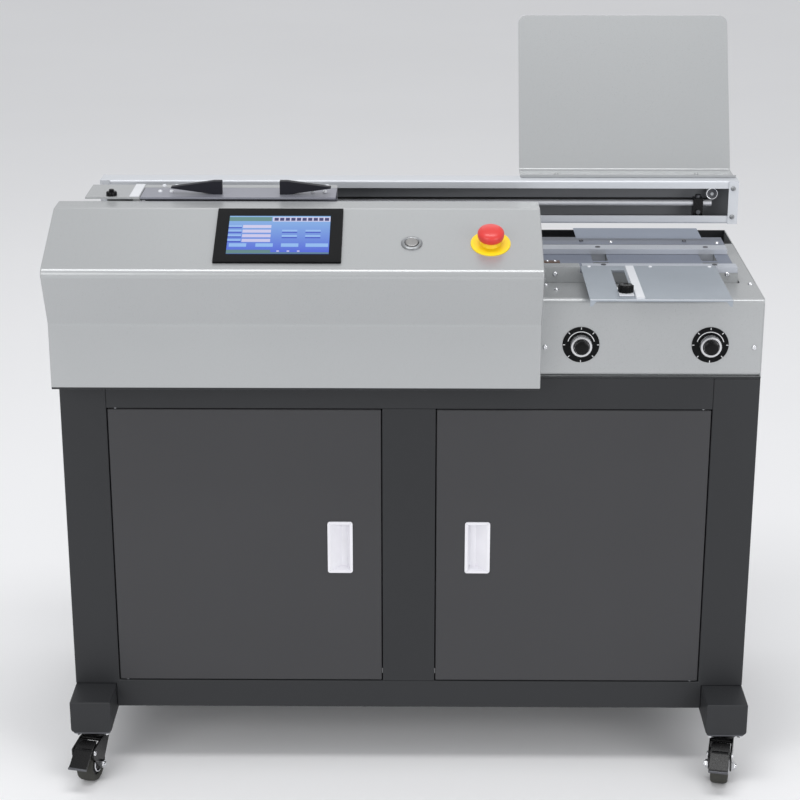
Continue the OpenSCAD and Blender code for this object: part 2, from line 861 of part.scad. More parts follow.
// Right cover: front and top in one bent sheet, with the machine's right wall
module right_cover() {
    section = [[right_rear_y, right_top], [door_y + right_bevel, right_top],
        [door_y, right_top - right_bevel], [door_y, deck_top], [door_y + flange, deck_top]];
    wall = [section[1], section[2], section[3], [back_y, deck_top], [back_y, right_top]];
    color(silver)
        difference() {
            union() {
                along_x(console_end, side_x - console_end)
                    polygon(sheet(section, cover_t));
                along_x(side_x - cover_t, cover_t)
                    polygon(wall);
                box(nip_right + wall_gap, right_rear_y - cut, right_top - cover_t,
                    side_x - nip_right - wall_gap, nip_rear_y + wall_tail - right_rear_y + cut, cover_t);
            }
            for (x = dial_xs())
                bar_y(x, door_y - cut, dial_z, dial_neck_d + 2 * seat_fit, cover_t + 2 * cut);
            for (x = front_screw_xs())
                bar_y(x, door_y - cut, front_screw_z, screw_d + 2 * seat_fit, cover_t + 2 * cut);
        }
}

// Dial plate, neck, shaft and potentiometer of each dial
module dial_controls() {
    pot_d = dial_neck_d + 14;
    color(black)
        for (x = dial_xs()) {
            bar_y(x, door_y - dial_plate_t, dial_z, dial_d, dial_plate_t);
            bar_y(x, door_y - cut, dial_z, dial_neck_d, cover_t + 2 * cut);
            bar_y(x, door_y + cover_t, dial_z, pot_d, 18);
            bar_y(x, door_y - dial_plate_t - knob_len + 4, dial_z, dial_shaft_d, knob_len - 3);
        }
}

// Knob with a wide collar and a narrower cap, bored for the shaft
module dial_knob(x) {
    base_y = door_y - dial_plate_t - 0.6;
    collar = 12;
    cap_d = knob_d - 12;
    color(steel)
        difference() {
            union() {
                bar_y(x, base_y - collar, dial_z, knob_d, collar);
                bar_y(x, base_y - knob_len, dial_z, cap_d, knob_len);
            }
            bar_y(x, base_y - knob_len + 3, dial_z, dial_shaft_d + 2 * run_fit, knob_len);
        }
}

module left_knob() {
    dial_knob(dial_xs()[0]);
}

module right_knob() {
    dial_knob(dial_xs()[1]);
}

channel_x = -beam_left + end_t;
channel_w = beam_left + beam_end - 2 * end_t;
end_flange_t = 2;
end_screw_x = beam_end - end_flange / 2 - 1;
left_screw_x = -beam_left + end_flange / 2 + 1;
function end_screw_zs() = [beam_z + 12, beam_top - 12];

// Beam of bent sheet, open to the front, with the idler's stud on its back
module beam_channel() {
    section = [[beam_y, beam_z + lower_lip_h], [beam_y, beam_z], [beam_back_y, beam_z],
        [beam_back_y, beam_top - beam_bevel], [beam_back_y - beam_bevel, beam_top],
        [beam_y, beam_top], [beam_y, beam_top - upper_lip_h]];
    color(silver)
        difference() {
            union() {
                along_x(channel_x, channel_w)
                    polygon(sheet(section, beam_t));
                bar_y(idler_x, pulley_y - 1, pulley_z, pulley_axle_d, beam_back_y - cut - pulley_y + 1);
            }
            bar_y(drive_x, beam_back_y - beam_t - cut, pulley_z, pulley_axle_d + 2, beam_t + 2 * cut);
        }
}

// End plate of the beam from x, with a flange to the front that starts at flange_x
module beam_end_plate(x, flange_x, screw_x, screw_zs) {
    front = beam_y - end_flange_t;
    section = [[front, beam_z], [beam_back_y, beam_z], [beam_back_y, beam_top - beam_bevel],
        [beam_back_y - beam_bevel, beam_top], [front, beam_top]];
    difference() {
        union() {
            along_x(x, end_t)
                polygon(section);
            box(flange_x, front, beam_z, end_flange, end_flange_t, beam_h);
        }
        for (z = screw_zs)
            bar_y(screw_x, front - cut, z, screw_d + 2 * seat_fit, end_flange_t + 2 * cut);
    }
}

module beam_end_plates() {
    color(silver) {
        beam_end_plate(-beam_left, -beam_left, left_screw_x, [end_screw_zs()[1]]);
        beam_end_plate(beam_end - end_t, beam_end - end_flange, end_screw_x, end_screw_zs());
    }
}

// Two posts that carry the beam from the deck
module beam_posts() {
    color(silver)
        for (x = post_x)
            box(x - beam_post_w / 2, beam_y + (beam_d - beam_post_w) / 2, deck_top,
                beam_post_w, beam_post_w, beam_z - deck_top);
}

module guide_rod() {
    color(steel)
        bar_x(channel_x, rod_y, rod_z, rod_d, rod_right - channel_x);
}

// Rod clamps on the beam's floor, at both ends of the rod
module rod_supports() {
    base_z = beam_z + beam_t;
    color(black)
        for (x = [channel_x, support_x])
            difference() {
                box(x, rod_y - bush_r, base_z, x < 0 ? support_w - 6 : support_w,
                    2 * bush_r, rod_z + bush_r - base_z);
                bar_x(x - cut, rod_y, rod_z, rod_d + 2 * seat_fit, support_w + 2 * cut);
            }
}

// Motor on the beam's back with its shaft through it
module carriage_motor() {
    color(black) {
        box(drive_x - motor_w / 2, beam_back_y, pulley_z - motor_w / 2, motor_w, motor_len, motor_w);
        bar_y(drive_x, pulley_y - 1, pulley_z, pulley_axle_d, beam_back_y + cut - pulley_y + 1);
    }
}

// Belt loop's solid between the two pulleys, out to the radius r
module belt_loop(r, w, y) {
    bar_y(drive_x, y, pulley_z, 2 * r, w);
    bar_y(idler_x, y, pulley_z, 2 * r, w);
    box(drive_x, y, pulley_z - r, idler_x - drive_x, w, 2 * r);
}

module drive_belt() {
    belt_y = pulley_y + (pulley_w - belt_w) / 2;
    color(black)
        difference() {
            belt_loop(belt_r + belt_t, belt_w, belt_y);
            belt_loop(belt_r, belt_w + 2 * cut, belt_y - cut);
        }
}

module belt_pulley(x) {
    color(steel)
        difference() {
            bar_y(x, pulley_y, pulley_z, pulley_d, pulley_w);
            bar_y(x, pulley_y - cut, pulley_z, pulley_axle_d + 2 * run_fit, pulley_w + 2 * cut);
        }
}

module drive_pulley() {
    belt_pulley(drive_x);
}

module idler_pulley() {
    belt_pulley(idler_x);
}

tray_in = 4;
tray_right = beam_end - tray_in;
tray_bend_y = beam_back_y + tray_back;

// Document tray: a leaning back with round top corners and a ledge on the beam's top
module document_tray() {
    section = [[tray_bend_y - tray_ledge, beam_top], [tray_bend_y, beam_top],
        [tray_bend_y + tray_len * sin(tray_lean), beam_top + tray_len * cos(tray_lean)]];
    corner = tray_r + cut;
    color(silver)
        difference() {
            along_x(tray_right - tray_w, tray_w)
                polygon(sheet(section, tray_t));
            translate([tray_right - tray_w / 2, tray_bend_y, beam_top])
                rotate([90 - tray_lean, 0, 0])
                    for (sx = [-1, 1])
                        translate([sx * (tray_w / 2 - tray_r), tray_len - tray_r, -tray_t])
                            difference() {
                                translate([sx > 0 ? 0 : -corner, 0, 0])
                                    cube([corner, corner, 3 * tray_t]);
                                translate([0, 0, -cut])
                                    cylinder(r = tray_r, h = 3 * tray_t + 2 * cut);
                            }
        }
}

// Carriage: top plate, left wing, fixed jaw, jaw pins and two arms that run on the rod in the beam
module carriage_plate() {
    jaw_y = slot_y + slot_gap / 2;
    color(silver)
        difference() {
            union() {
                box(carriage_left, jaw_y, plate_z, carriage_len, rear_plate_d, plate_t);
                box(carriage_left, wing_y, plate_z,
                    jaw_left - 1 - carriage_left, jaw_y + cut - wing_y, plate_t);
                box(jaw_left, jaw_y, jaw_bottom, jaw_len, jaw_t, jaw_h + cut);
                for (x = jaw_pin_x)
                    bar_y(x, jaw_pin_y, jaw_pin_z, jaw_pin_d, jaw_y + cut - jaw_pin_y);
                for (x = arm_x) {
                    box(x, jaw_y, rod_z - bush_r, arm_w, rod_y + bush_r - jaw_y, 2 * bush_r);
                    box(x, jaw_y, rod_z - bush_r, arm_w, jaw_t, plate_z + cut - rod_z + bush_r);
                }
            }
            for (x = arm_x)
                bar_x(x - cut, rod_y, rod_z, rod_d + 2 * run_fit, arm_w + 2 * cut);
        }
}

// Black arrow-shaped guides on the moving jaw's top plate, with their points outwards
module book_guides() {
    tip = 2;
    foot = guide_t;
    guide_y = (wing_y + slot_y) / 2 + guide_t / 2 - 8;
    color(black)
        for (guide = [[jaw_left + 46, 1], [carriage_right - 8, -1]])
            translate([guide[0], guide_y, plate_top])
                rotate([90, 0, 0])
                    linear_extrude(guide_t)
                        polygon([[0, (guide_h - tip) / 2], [guide[1] * (guide_len - foot), 0],
                            [guide[1] * guide_len, 0], [guide[1] * guide_len, guide_h],
                            [guide[1] * (guide_len - foot), guide_h], [0, (guide_h + tip) / 2]]);
}

// Moving jaw with its top plate, bored for the carriage's pins
module clamp_jaw() {
    jaw_face = slot_y - slot_gap / 2;
    color(silver)
        difference() {
            union() {
                box(jaw_left, wing_y, plate_z, jaw_len, jaw_face - wing_y, plate_t);
                box(jaw_left, jaw_face - jaw_t, jaw_bottom, jaw_len, jaw_t, jaw_h + cut);
            }
            for (x = jaw_pin_x)
                bar_y(x, jaw_face - jaw_t - cut, jaw_pin_z, jaw_pin_d + 2 * run_fit, jaw_t + 2 * cut);
        }
}

// Slot through the nip floor for a jaw's block, from y0 to y1
module floor_slot(x, y0, y1) {
    box(x - block_w / 2 - slide_gap, y0 - 1, nip_floor - nip_floor_t - cut,
        block_w + 2 * slide_gap, y1 - y0 + 2, nip_floor_t + 2 * cut);
}

rear_table_x = table_left + 6;
rear_table_w = table_w - 4;

// Base of the cover station: slotted floor, front wall, fixed rear bar and four legs that hold the guide rods
module nip_base() {
    front_block_y = front_bar_y + front_wall_t + block_in;
    rear_jaw_block_y = rear_bar_y + block_in;
    floor_z = nip_floor - nip_floor_t;
    skirt_h = nip_rod_d + 12;
    leg_h = floor_z + cut - deck_top;
    color(silver)
        difference() {
            union() {
                box(nip_left, nip_front_y, floor_z,
                    nip_right - nip_left, nip_rear_y - nip_front_y, nip_floor_t);
                box(nip_left, rear_block_y, nip_floor - cut,
                    bar_right - nip_left, rear_block_d, nip_bar_h + cut);
                box(nip_left, nip_front_y, floor_z - skirt_h,
                    nip_right - nip_left, front_wall_t, skirt_h + cut);
                box(nip_left, nip_front_y, nip_floor - cut,
                    table_left - 1 - nip_left, front_bar_d, nip_bar_h + cut);
                for (x = nip_rods) {
                    box(x - leg_w / 2, nip_front_y, deck_top, leg_w, front_wall_t, leg_h);
                    box(x - leg_w / 2, rear_block_y + 2, deck_top, leg_w, rear_block_d - 2, leg_h);
                }
            }
            for (x = nip_rods) {
                floor_slot(x, front_block_y, front_bar_y + front_bar_d - block_in + nip_travel);
                floor_slot(x, rear_jaw_block_y - nip_travel, rear_jaw_block_y + rear_bar_d - 2 * block_in);
                bar_y(x, nip_front_y - cut, nip_rod_z,
                    nip_rod_d + 2 * seat_fit, nip_rear_y - nip_front_y + 2 * cut);
            }
            box(rear_table_x - slide_gap, nip_rear_y - rebate - slide_gap, table_top - table_t,
                rear_table_w + 2 * slide_gap, rebate + slide_gap + cut, table_t + cut);
        }
}

module nip_guide_rods() {
    inset = nip_rod_d / 3;
    rod_len = rear_block_y + rear_block_d / 2 - nip_front_y - inset;
    color(steel)
        for (x = nip_rods)
            bar_y(x, nip_front_y + inset, nip_rod_z, nip_rod_d, rod_len);
}

// Nip bar from left, whose front face is at y, with two bored blocks that run on the guide rods
module nip_bar(left, y, depth, inset) {
    block_z = nip_rod_z - block_w / 2;
    difference() {
        union() {
            box(left, y, nip_floor + slide_gap, bar_right - left, depth, nip_bar_h - slide_gap);
            for (x = nip_rods)
                box(x - block_w / 2, y + inset, block_z,
                    block_w, depth - inset - block_in, nip_floor + 1 - block_z);
        }
        for (x = nip_rods)
            bar_y(x, y - cut, nip_rod_z, nip_rod_d + 2 * run_fit, depth + 2 * cut);
    }
}

// Front nip bar, rebated for the table that rides on it
module front_nip_jaw() {
    color(steel)
        difference() {
            nip_bar(bar_left, front_bar_y, front_bar_d, front_wall_t + block_in);
            box(table_left - cut, front_bar_y - cut, table_top - table_t,
                table_w + slide_gap + cut, rebate + slide_gap + cut, table_t + cut);
        }
}

module rear_nip_jaw() {
    color(steel)
        nip_bar(nip_left, rear_bar_y, rear_bar_d, block_in);
}

gauge_clamp_d = 24;
gauge_slide = [22, 78, 2];
gauge_stem_d = gauge_slot_w - 2 * slide_gap;
fence_w = 13;
fence_h = 3;

// Front cover table with its gauge slot, its fence and the tabs at its front corners
module front_cover_table() {
    tab = 10;
    table_d = front_bar_y + rebate - table_y;
    slot_start = gauge_y - gauge_slot_w / 2;
    color(silver)
        difference() {
            union() {
                box(table_left, table_y, table_top - table_t, table_w, table_d, table_t);
                for (x = [table_left, table_left + table_w - tab])
                    box(x, table_y, table_top - tab, tab, table_t, tab);
                box(gauge_x + gauge_clamp_d / 2 + 1, table_y + 6, table_top - table_t / 2,
                    fence_w, table_d - 14, fence_h + table_t / 2);
            }
            box(gauge_x - gauge_slot_w / 2, slot_start, table_top - table_t - cut,
                gauge_slot_w, gauge_travel + gauge_slot_w, table_t + 2 * cut);
        }
}

// Side gauge: a slide plate with its clamp knob, on a stem through the slot with a foot below the table
module side_gauge() {
    foot_t = 3;
    foot_top_z = table_top - table_t - slide_gap;
    color(black) {
        box(gauge_x - gauge_slide.x / 2, gauge_y - gauge_slide.y / 4, table_top + slide_gap,
            gauge_slide.x, gauge_slide.y, gauge_slide.z);
        bar_z(gauge_x, gauge_y, table_top + slide_gap + gauge_slide.z - cut, gauge_clamp_d, 12 + cut);
        bar_z(gauge_x, gauge_y, foot_top_z - foot_t / 2, gauge_stem_d, table_t + 2 * slide_gap + foot_t);
        bar_z(gauge_x, gauge_y, foot_top_z - foot_t, gauge_clamp_d, foot_t);
    }
}

module rear_cover_table() {
    color(silver)
        box(rear_table_x, nip_rear_y - rebate, table_top - table_t, rear_table_w, rear_table_d, table_t);
}

// Upright motor on a foot plate, with the cutter's shaft
module milling_motor() {
    foot_side = mill_motor_d + 30;
    foot_t = 8;
    color(black) {
        box(-cutter_x - foot_side / 2, slot_y - foot_side / 2, deck_top, foot_side, foot_side, foot_t);
        bar_z(-cutter_x, slot_y, deck_top + foot_t - cut, mill_motor_d, mill_top - deck_top - foot_t + cut);
        bar_z(-cutter_x, slot_y, mill_top - cut, cutter_shaft_d, work_z - mill_top);
    }
}

// Cutter disc with a hub and a ring of tips
module milling_cutter() {
    tips = 12;
    tip = 8;
    hub_d = cutter_shaft_d + 26;
    color(steel)
        difference() {
            union() {
                bar_z(-cutter_x, slot_y, cutter_z, cutter_d, cutter_t);
                bar_z(-cutter_x, slot_y, cutter_z - cutter_hub_h, hub_d, cutter_hub_h + cut);
                for (i = [0 : tips - 1])
                    translate([-cutter_x, slot_y, 0])
                        rotate([0, 0, 360 * i / tips])
                            box(cutter_d / 2 - tip / 2, -tip / 4, cutter_z - tip / 4,
                                tip, tip / 2, cutter_t + tip / 4);
            }
            bar_z(-cutter_x, slot_y, cutter_z - cutter_hub_h - cut, cutter_shaft_d + 2 * run_fit,
                cutter_t + cutter_hub_h + 2 * cut);
        }
}

// Glue pot on a pedestal, with bearings for the rollers in its walls
module glue_pot() {
    pot_z = pot_top - pot_h;
    pot_y = slot_y - pot_in_d / 2;
    pedestal_d = 50;
    color(steel)
        difference() {
            union() {
                box(pot_x, pot_y - pot_t, pot_z, pot_w, pot_in_d + 2 * pot_t, pot_h);
                box(pot_x + 10, slot_y - pedestal_d / 2, deck_top,
                    pot_w - 20, pedestal_d, pot_z + cut - deck_top);
            }
            box(pot_x + pot_t, pot_y, pot_z + pot_t, pot_w - 2 * pot_t, pot_in_d, pot_h);
            for (x = rollers)
                bar_y(x, pot_y - pot_t - cut, roller_z,
                    roller_shaft_d + 2 * run_fit, pot_in_d + 2 * pot_t + 2 * cut);
        }
}

module glue_roller(x) {
    shaft_len = pot_in_d + 2 * pot_t + 4;
    color(steel) {
        bar_y(x, slot_y - roller_len / 2, roller_z, roller_d, roller_len);
        bar_y(x, slot_y - shaft_len / 2, roller_z, roller_shaft_d, shaft_len);
    }
}

module front_glue_roller() {
    glue_roller(rollers[0]);
}

module rear_glue_roller() {
    glue_roller(rollers[1]);
}

// Screw whose head sits on a front face at y, with a shank of length len behind it
module front_screw(x, y, z, len) {
    bar_y(x, y - screw_head_t, z, screw_head_d, screw_head_t);
    bar_y(x, y - cut, z, screw_d, len + cut);
}

module cover_screws() {
    color(steel) {
        for (x = front_screw_xs())
            front_screw(x, door_y, front_screw_z, cover_t + 6);
        for (z = end_screw_zs())
            front_screw(end_screw_x, beam_y - end_flange_t, z, end_flange_t);
        front_screw(left_screw_x, beam_y - end_flange_t, end_screw_zs()[1], end_flange_t);
    }
}

function caster_spots() = [for (x = [-foot_x, foot_x], y = [front_caster_y, rear_caster_y]) [x, y]];
kingpin_head = 4;
kingpin_play = 0.3;

// Caster top plates with their kingpins
module caster_plates() {
    plate_w = foot_w - 6;
    plate_len = plate_w + 8;
    color(steel)
        for (spot = caster_spots()) {
            box(spot.x - plate_w / 2, spot.y - plate_len / 2, plate_under,
                plate_w, plate_len, caster_h - plate_under);
            bar_z(spot.x, spot.y, crown_z - kingpin_play - kingpin_head / 2, kingpin_d,
                plate_under + cut - crown_z + kingpin_play + kingpin_head / 2);
            bar_z(spot.x, spot.y, crown_z - kingpin_play - kingpin_head, kingpin_d + 6, kingpin_head);
        }
}

// Local frame of a caster: its wheel trails along local +Y, its axle lies along local X
module caster_frame(x, y, heading) {
    translate([x, y, 0])
        rotate([0, 0, heading])
            children();
}

// Fork with its swivel race, legs, riveted axle and, on a braked caster, the pedal's pin
module caster_fork(braked) {
    race_d = 44;
    crown_len = 40;
    axle_boss = axle_d + 10;
    leg_out = leg_in + leg_t;
    lug_y = braked ? pedal_y + 6 : crown_len / 2 + 4;
    leg = [[-crown_len / 2, crown_z + crown_t], [crown_len / 2, crown_z + crown_t], [lug_y, pedal_z + 6],
        [lug_y, pedal_z - 6], [caster_trail + axle_boss / 2, wheel_r],
        [caster_trail - axle_boss / 2, wheel_r]];
    difference() {
        union() {
            box(-leg_out, -crown_len / 2, crown_z, 2 * leg_out, crown_len, crown_t);
            bar_z(0, 0, crown_z, race_d, plate_under - slide_gap - crown_z);
            for (x = [-leg_out, leg_in])
                along_x(x, leg_t) {
                    polygon(leg);
                    translate([caster_trail, wheel_r])
                        circle(d = axle_boss);
                }
            bar_x(-leg_out - 3, caster_trail, wheel_r, axle_d, 2 * leg_out + 6);
            if (braked)
                bar_x(-leg_out, pedal_y, pedal_z, pedal_pin_d, 2 * leg_out);
        }
        bar_z(0, 0, crown_z - cut, kingpin_d + 2 * run_fit, caster_h - crown_z);
    }
}

// Wheel with bevelled tread, dished sides and a bore
module caster_wheel() {
    bevel = 4;
    dish = 3;
    rim_r = wheel_r - 10;
    hub_r = axle_d / 2 + 7;
    half = wheel_w / 2;
    bore_r = axle_d / 2 + run_fit;
    translate([0, caster_trail, wheel_r])
        rotate([0, 90, 0])
            rotate_extrude()
                polygon([[bore_r, -half], [hub_r, -half], [hub_r, dish - half], [rim_r, dish - half],
                    [rim_r, -half], [wheel_r - bevel, -half], [wheel_r, bevel - half],
                    [wheel_r, half - bevel], [wheel_r - bevel, half], [rim_r, half], [rim_r, half - dish],
                    [hub_r, half - dish], [hub_r, half], [bore_r, half]]);
}

// Brake pedal: a bent plate over the wheel, with a boss on the pin between the fork's legs
module brake_pedal() {
    pedal_w = 2 * (leg_in - slide_gap);
    pedal_t = 4;
    boss_d = pedal_pin_d + 6;
    path = [[pedal_y - 18, pedal_z + 11], [pedal_y, pedal_z + 3], [pedal_y + 26, pedal_z - 18]];
    difference() {
        along_x(-pedal_w / 2, pedal_w)
            union() {
                polygon(sheet(path, pedal_t));
                translate([pedal_y, pedal_z])
                    circle(d = boss_d);
            }
        bar_x(-pedal_w / 2 - cut, pedal_y, pedal_z, pedal_pin_d + 2 * run_fit, pedal_w + 2 * cut);
    }
}

module left_front_fork() {
    color(black)
        caster_frame(-foot_x, front_caster_y, left_front_heading)
            caster_fork(true);
}

module left_front_wheel() {
    color(black)
        caster_frame(-foot_x, front_caster_y, left_front_heading)
            caster_wheel();
}

module left_brake_pedal() {
    color(black)
        caster_frame(-foot_x, front_caster_y, left_front_heading)
            brake_pedal();
}

module right_front_fork() {
    color(black)
        caster_frame(foot_x, front_caster_y, right_front_heading)
            caster_fork(true);
}

module right_front_wheel() {
    color(black)
        caster_frame(foot_x, front_caster_y, right_front_heading)
            caster_wheel();
}

module right_brake_pedal() {
    color(black)
        caster_frame(foot_x, front_caster_y, right_front_heading)
            brake_pedal();
}

module left_rear_fork() {
    color(black)
        caster_frame(-foot_x, rear_caster_y, left_rear_heading)
            caster_fork(false);
}

module left_rear_wheel() {
    color(black)
        caster_frame(-foot_x, rear_caster_y, left_rear_heading)
            caster_wheel();
}

module right_rear_fork() {
    color(black)
        caster_frame(foot_x, rear_caster_y, right_rear_heading)
            caster_fork(false);
}

module right_rear_wheel() {
    color(black)
        caster_frame(foot_x, rear_caster_y, right_rear_heading)
            caster_wheel();
}

cabinet_frame();
foot_beams();
back_panel();
power_inlet();
deck_plate();
hinge_pins();
chip_bin();
console_cover();
screen_bezel();
screen_glass();
power_button_ring();
estop_base();
right_cover();
dial_controls();
beam_channel();
beam_end_plates();
beam_posts();
guide_rod();
rod_supports();
carriage_motor();
drive_belt();
document_tray();
nip_base();
nip_guide_rods();
rear_cover_table();
milling_motor();
glue_pot();
cover_screws();
caster_plates();
left_door();
left_handle();
right_door();
right_handle();
power_button();
estop_stem();
estop_mushroom();
left_knob();
right_knob();
carriage_plate();
book_guides();
clamp_jaw();
drive_pulley();
idler_pulley();
front_nip_jaw();
front_cover_table();
side_gauge();
rear_nip_jaw();
milling_cutter();
front_glue_roller();
rear_glue_roller();
left_front_fork();
left_front_wheel();
left_brake_pedal();
right_front_fork();
right_front_wheel();
right_brake_pedal();
left_rear_fork();
left_rear_wheel();
right_rear_fork();
right_rear_wheel();
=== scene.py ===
import math

import bmesh
import bpy
from mathutils import Matrix, Vector


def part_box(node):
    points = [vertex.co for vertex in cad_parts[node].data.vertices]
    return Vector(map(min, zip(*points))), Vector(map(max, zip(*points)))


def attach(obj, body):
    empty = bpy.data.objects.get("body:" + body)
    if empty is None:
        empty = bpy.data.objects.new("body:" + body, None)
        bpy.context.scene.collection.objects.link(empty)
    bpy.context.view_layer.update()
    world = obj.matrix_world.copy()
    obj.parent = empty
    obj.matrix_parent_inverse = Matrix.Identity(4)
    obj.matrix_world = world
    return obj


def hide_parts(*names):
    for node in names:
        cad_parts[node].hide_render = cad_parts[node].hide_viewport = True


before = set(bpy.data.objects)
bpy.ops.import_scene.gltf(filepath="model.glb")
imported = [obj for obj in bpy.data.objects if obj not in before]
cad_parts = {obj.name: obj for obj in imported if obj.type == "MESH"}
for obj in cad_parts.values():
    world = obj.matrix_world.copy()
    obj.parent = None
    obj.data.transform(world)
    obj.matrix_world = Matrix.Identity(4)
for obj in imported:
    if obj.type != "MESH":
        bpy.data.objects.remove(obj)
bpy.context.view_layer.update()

# Studio: a wide pale floor, an even pale surround and four large soft lamps, with the camera at the
# height of a standing person. None of it belongs to the machine.
def srgb(r, g, b):
    """Colour given as 0 to 255 sRGB values, in the linear values that shaders take."""
    def linear(c):
        c /= 255
        return c / 12.92 if c <= 0.04045 else ((c + 0.055) / 1.055) ** 2.4
    return (linear(r), linear(g), linear(b), 1.0)


def with_inputs(node, values):
    """Shader node with values set for its inputs, by their names."""
    for socket, value in values.items():
        node.inputs[socket.replace("_", " ")].default_value = value
    return node


def add_node(tree, kind, **values):
    """New shader node of a kind."""
    return with_inputs(tree.nodes.new("ShaderNode" + kind), values)


def new_finish(name, **values):
    """New material, with its node tree and its shader."""
    finish = bpy.data.materials.new(name)
    finish.use_nodes = True
    return finish, finish.node_tree, with_inputs(finish.node_tree.nodes["Principled BSDF"], values)


def wire(tree, *wires):
    """Links, each given as a node, its output, the next node and that node's input."""
    for source, output, target, socket in wires:
        tree.links.new(source.outputs[output], target.inputs[socket])


def made_finish(name, rgb, rough, metal=0.0, tone=0.05, tone_size=5, grain=900, depth=0.00003,
                stretch=(1.0, 1.0, 1.0), coat=0.0, shine=0.5):
    """Node finish: mottled colour, roughness that wanders between two values, and a fine grain."""
    finish, tree, shader = new_finish(name, Metallic=metal, Specular_IOR_Level=shine, Coat_Weight=coat,
                                      Coat_Roughness=0.12)
    place = add_node(tree, "TexCoord")
    cloud = add_node(tree, "TexNoise", Scale=tone_size, Detail=3.0)
    ramp = add_node(tree, "ValToRGB")
    dark, light = ramp.color_ramp.elements
    dark.position, light.position = 0.3, 0.7
    colour = srgb(*rgb)[:3]
    dark.color = [c * (1 - tone) for c in colour] + [1.0]
    light.color = [min(1.0, c * (1 + tone)) for c in colour] + [1.0]
    turn = add_node(tree, "Mapping", Scale=stretch)
    specks = add_node(tree, "TexNoise", Scale=grain, Detail=2.0)
    wander = add_node(tree, "MapRange", From_Min=0.25, From_Max=0.75, To_Min=rough[0], To_Max=rough[1])
    bump = add_node(tree, "Bump", Strength=0.6, Distance=depth)
    wire(tree, (place, "Object", cloud, "Vector"), (cloud, "Fac", ramp, "Fac"),
         (ramp, "Color", shader, "Base Color"), (place, "Object", turn, "Vector"),
         (turn, "Vector", specks, "Vector"), (specks, "Fac", wander, "Value"),
         (wander, "Result", shader, "Roughness"), (specks, "Fac", bump, "Height"),
         (bump, "Normal", shader, "Normal"))
    return finish


MM = 0.001


def link_mesh(name, bm, finishes):
    """Mesh object at the origin from a bmesh in millimetres, with weighted normals and sharp creases."""
    bmesh.ops.scale(bm, vec=(MM, MM, MM), verts=bm.verts)
    bm.normal_update()
    for face in bm.faces:
        face.smooth = True
    for edge in bm.edges:
        edge.smooth = edge.is_manifold and edge.calc_face_angle(0.0) < math.radians(40)
    mesh = bpy.data.meshes.new(name)
    bm.to_mesh(mesh)
    bm.free()
    for finish in finishes:
        mesh.materials.append(finish)
    thing = bpy.data.objects.new(name, mesh)
    bpy.context.scene.collection.objects.link(thing)
    normals = thing.modifiers.new("normals", "WEIGHTED_NORMAL")
    normals.keep_sharp = True
    return thing


studio_floor = bmesh.new()
bmesh.ops.create_grid(studio_floor, x_segments=1, y_segments=1, size=30000)
floor_finish = made_finish("pale_floor", (246, 246, 247), (0.55, 0.7), tone=0.01, tone_size=0.8, grain=60)
link_mesh("studio_floor", studio_floor, [floor_finish])

surround = bpy.data.worlds.new("surround")
surround.use_nodes = True
bpy.context.scene.world = surround
sky = surround.node_tree.nodes["Background"]
sky.inputs["Color"].default_value = (0.97, 0.98, 1.0, 1.0)
sky.inputs["Strength"].default_value = 0.66

lamps_aim = Vector((0, 0, 0.75))
for name, spot, wide, tall, watts in (("key_lamp", (-2.0, -3.6, 2.1), 2.0, 2.0, 38),
                                      ("fill_lamp", (2.6, -3.4, 1.7), 2.0, 2.0, 35),
                                      ("top_lamp", (0.0, -1.0, 4.4), 3.2, 1.0, 64),
                                      ("back_lamp", (0.0, 2.2, 3.0), 2.0, 2.0, 9)):
    lamp = bpy.data.lights.new(name, "AREA")
    lamp.shape = "RECTANGLE"
    lamp.size = wide
    lamp.size_y = tall
    lamp.energy = watts
    lamp_spot = bpy.data.objects.new(name, lamp)
    lamp_spot.location = spot
    lamp_spot.rotation_euler = (lamps_aim - Vector(spot)).to_track_quat("-Z", "Y").to_euler()
    bpy.context.scene.collection.objects.link(lamp_spot)

look_down, look_left = 18.98, 0.5
camera = bpy.data.cameras.new("camera")
camera.sensor_width = 36.0
camera.lens = 90.9
camera_spot = bpy.data.objects.new("camera", camera)
camera_spot.location = (0.012, -3.150, 1.660)
camera_spot.rotation_euler = (math.radians(90 - look_down), 0, math.radians(look_left))
bpy.context.scene.collection.objects.link(camera_spot)
bpy.context.scene.camera = camera_spot
bpy.context.scene.view_settings.view_transform = "Standard"


# Foot beams: two closed steel tubes under the cabinet, powder coated charcoal with it. The tube's lower
# edges are rounder than the upper ones, and a plate closes the front end.
def cad_mm(node):
    """Lowest and highest corner of a CAD node, in millimetres."""
    low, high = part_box(node)
    return Vector(low) / MM, Vector(high) / MM


def at(x, y, z):
    """Place at a point."""
    return Matrix.Translation((x, y, z))


def add_block(bm, low, high):
    """Rectangular block between two corners."""
    size = [b - a for a, b in zip(low, high)]
    middle = [(a + b) / 2 for a, b in zip(low, high)]
    place = at(*middle) @ Matrix.Diagonal((*size, 1))
    return bmesh.ops.create_cube(bm, size=1, matrix=place)["verts"]


def bevelled(bm, geom, width, segments, affect="EDGES"):
    """Rounds edges, or the corners of a flat sheet."""
    bmesh.ops.bevel(bm, geom=geom, offset=width, offset_type="OFFSET", segments=segments, profile=0.5,
                    affect=affect, clamp_overlap=True, material=-1)


def soften(bm, width, segments=2, over=35, choose=None):
    """Rounds the edges that fold by more than an angle, or those that choose picks among them."""
    edges = [e for e in bm.edges if e.is_manifold and e.calc_face_angle() > math.radians(over)]
    if choose:
        edges = [e for e in edges if choose(e)]
    bevelled(bm, edges, width, segments)


def reach(edge, axis):
    """How far an edge runs along an axis."""
    return abs(edge.verts[0].co[axis] - edge.verts[1].co[axis])


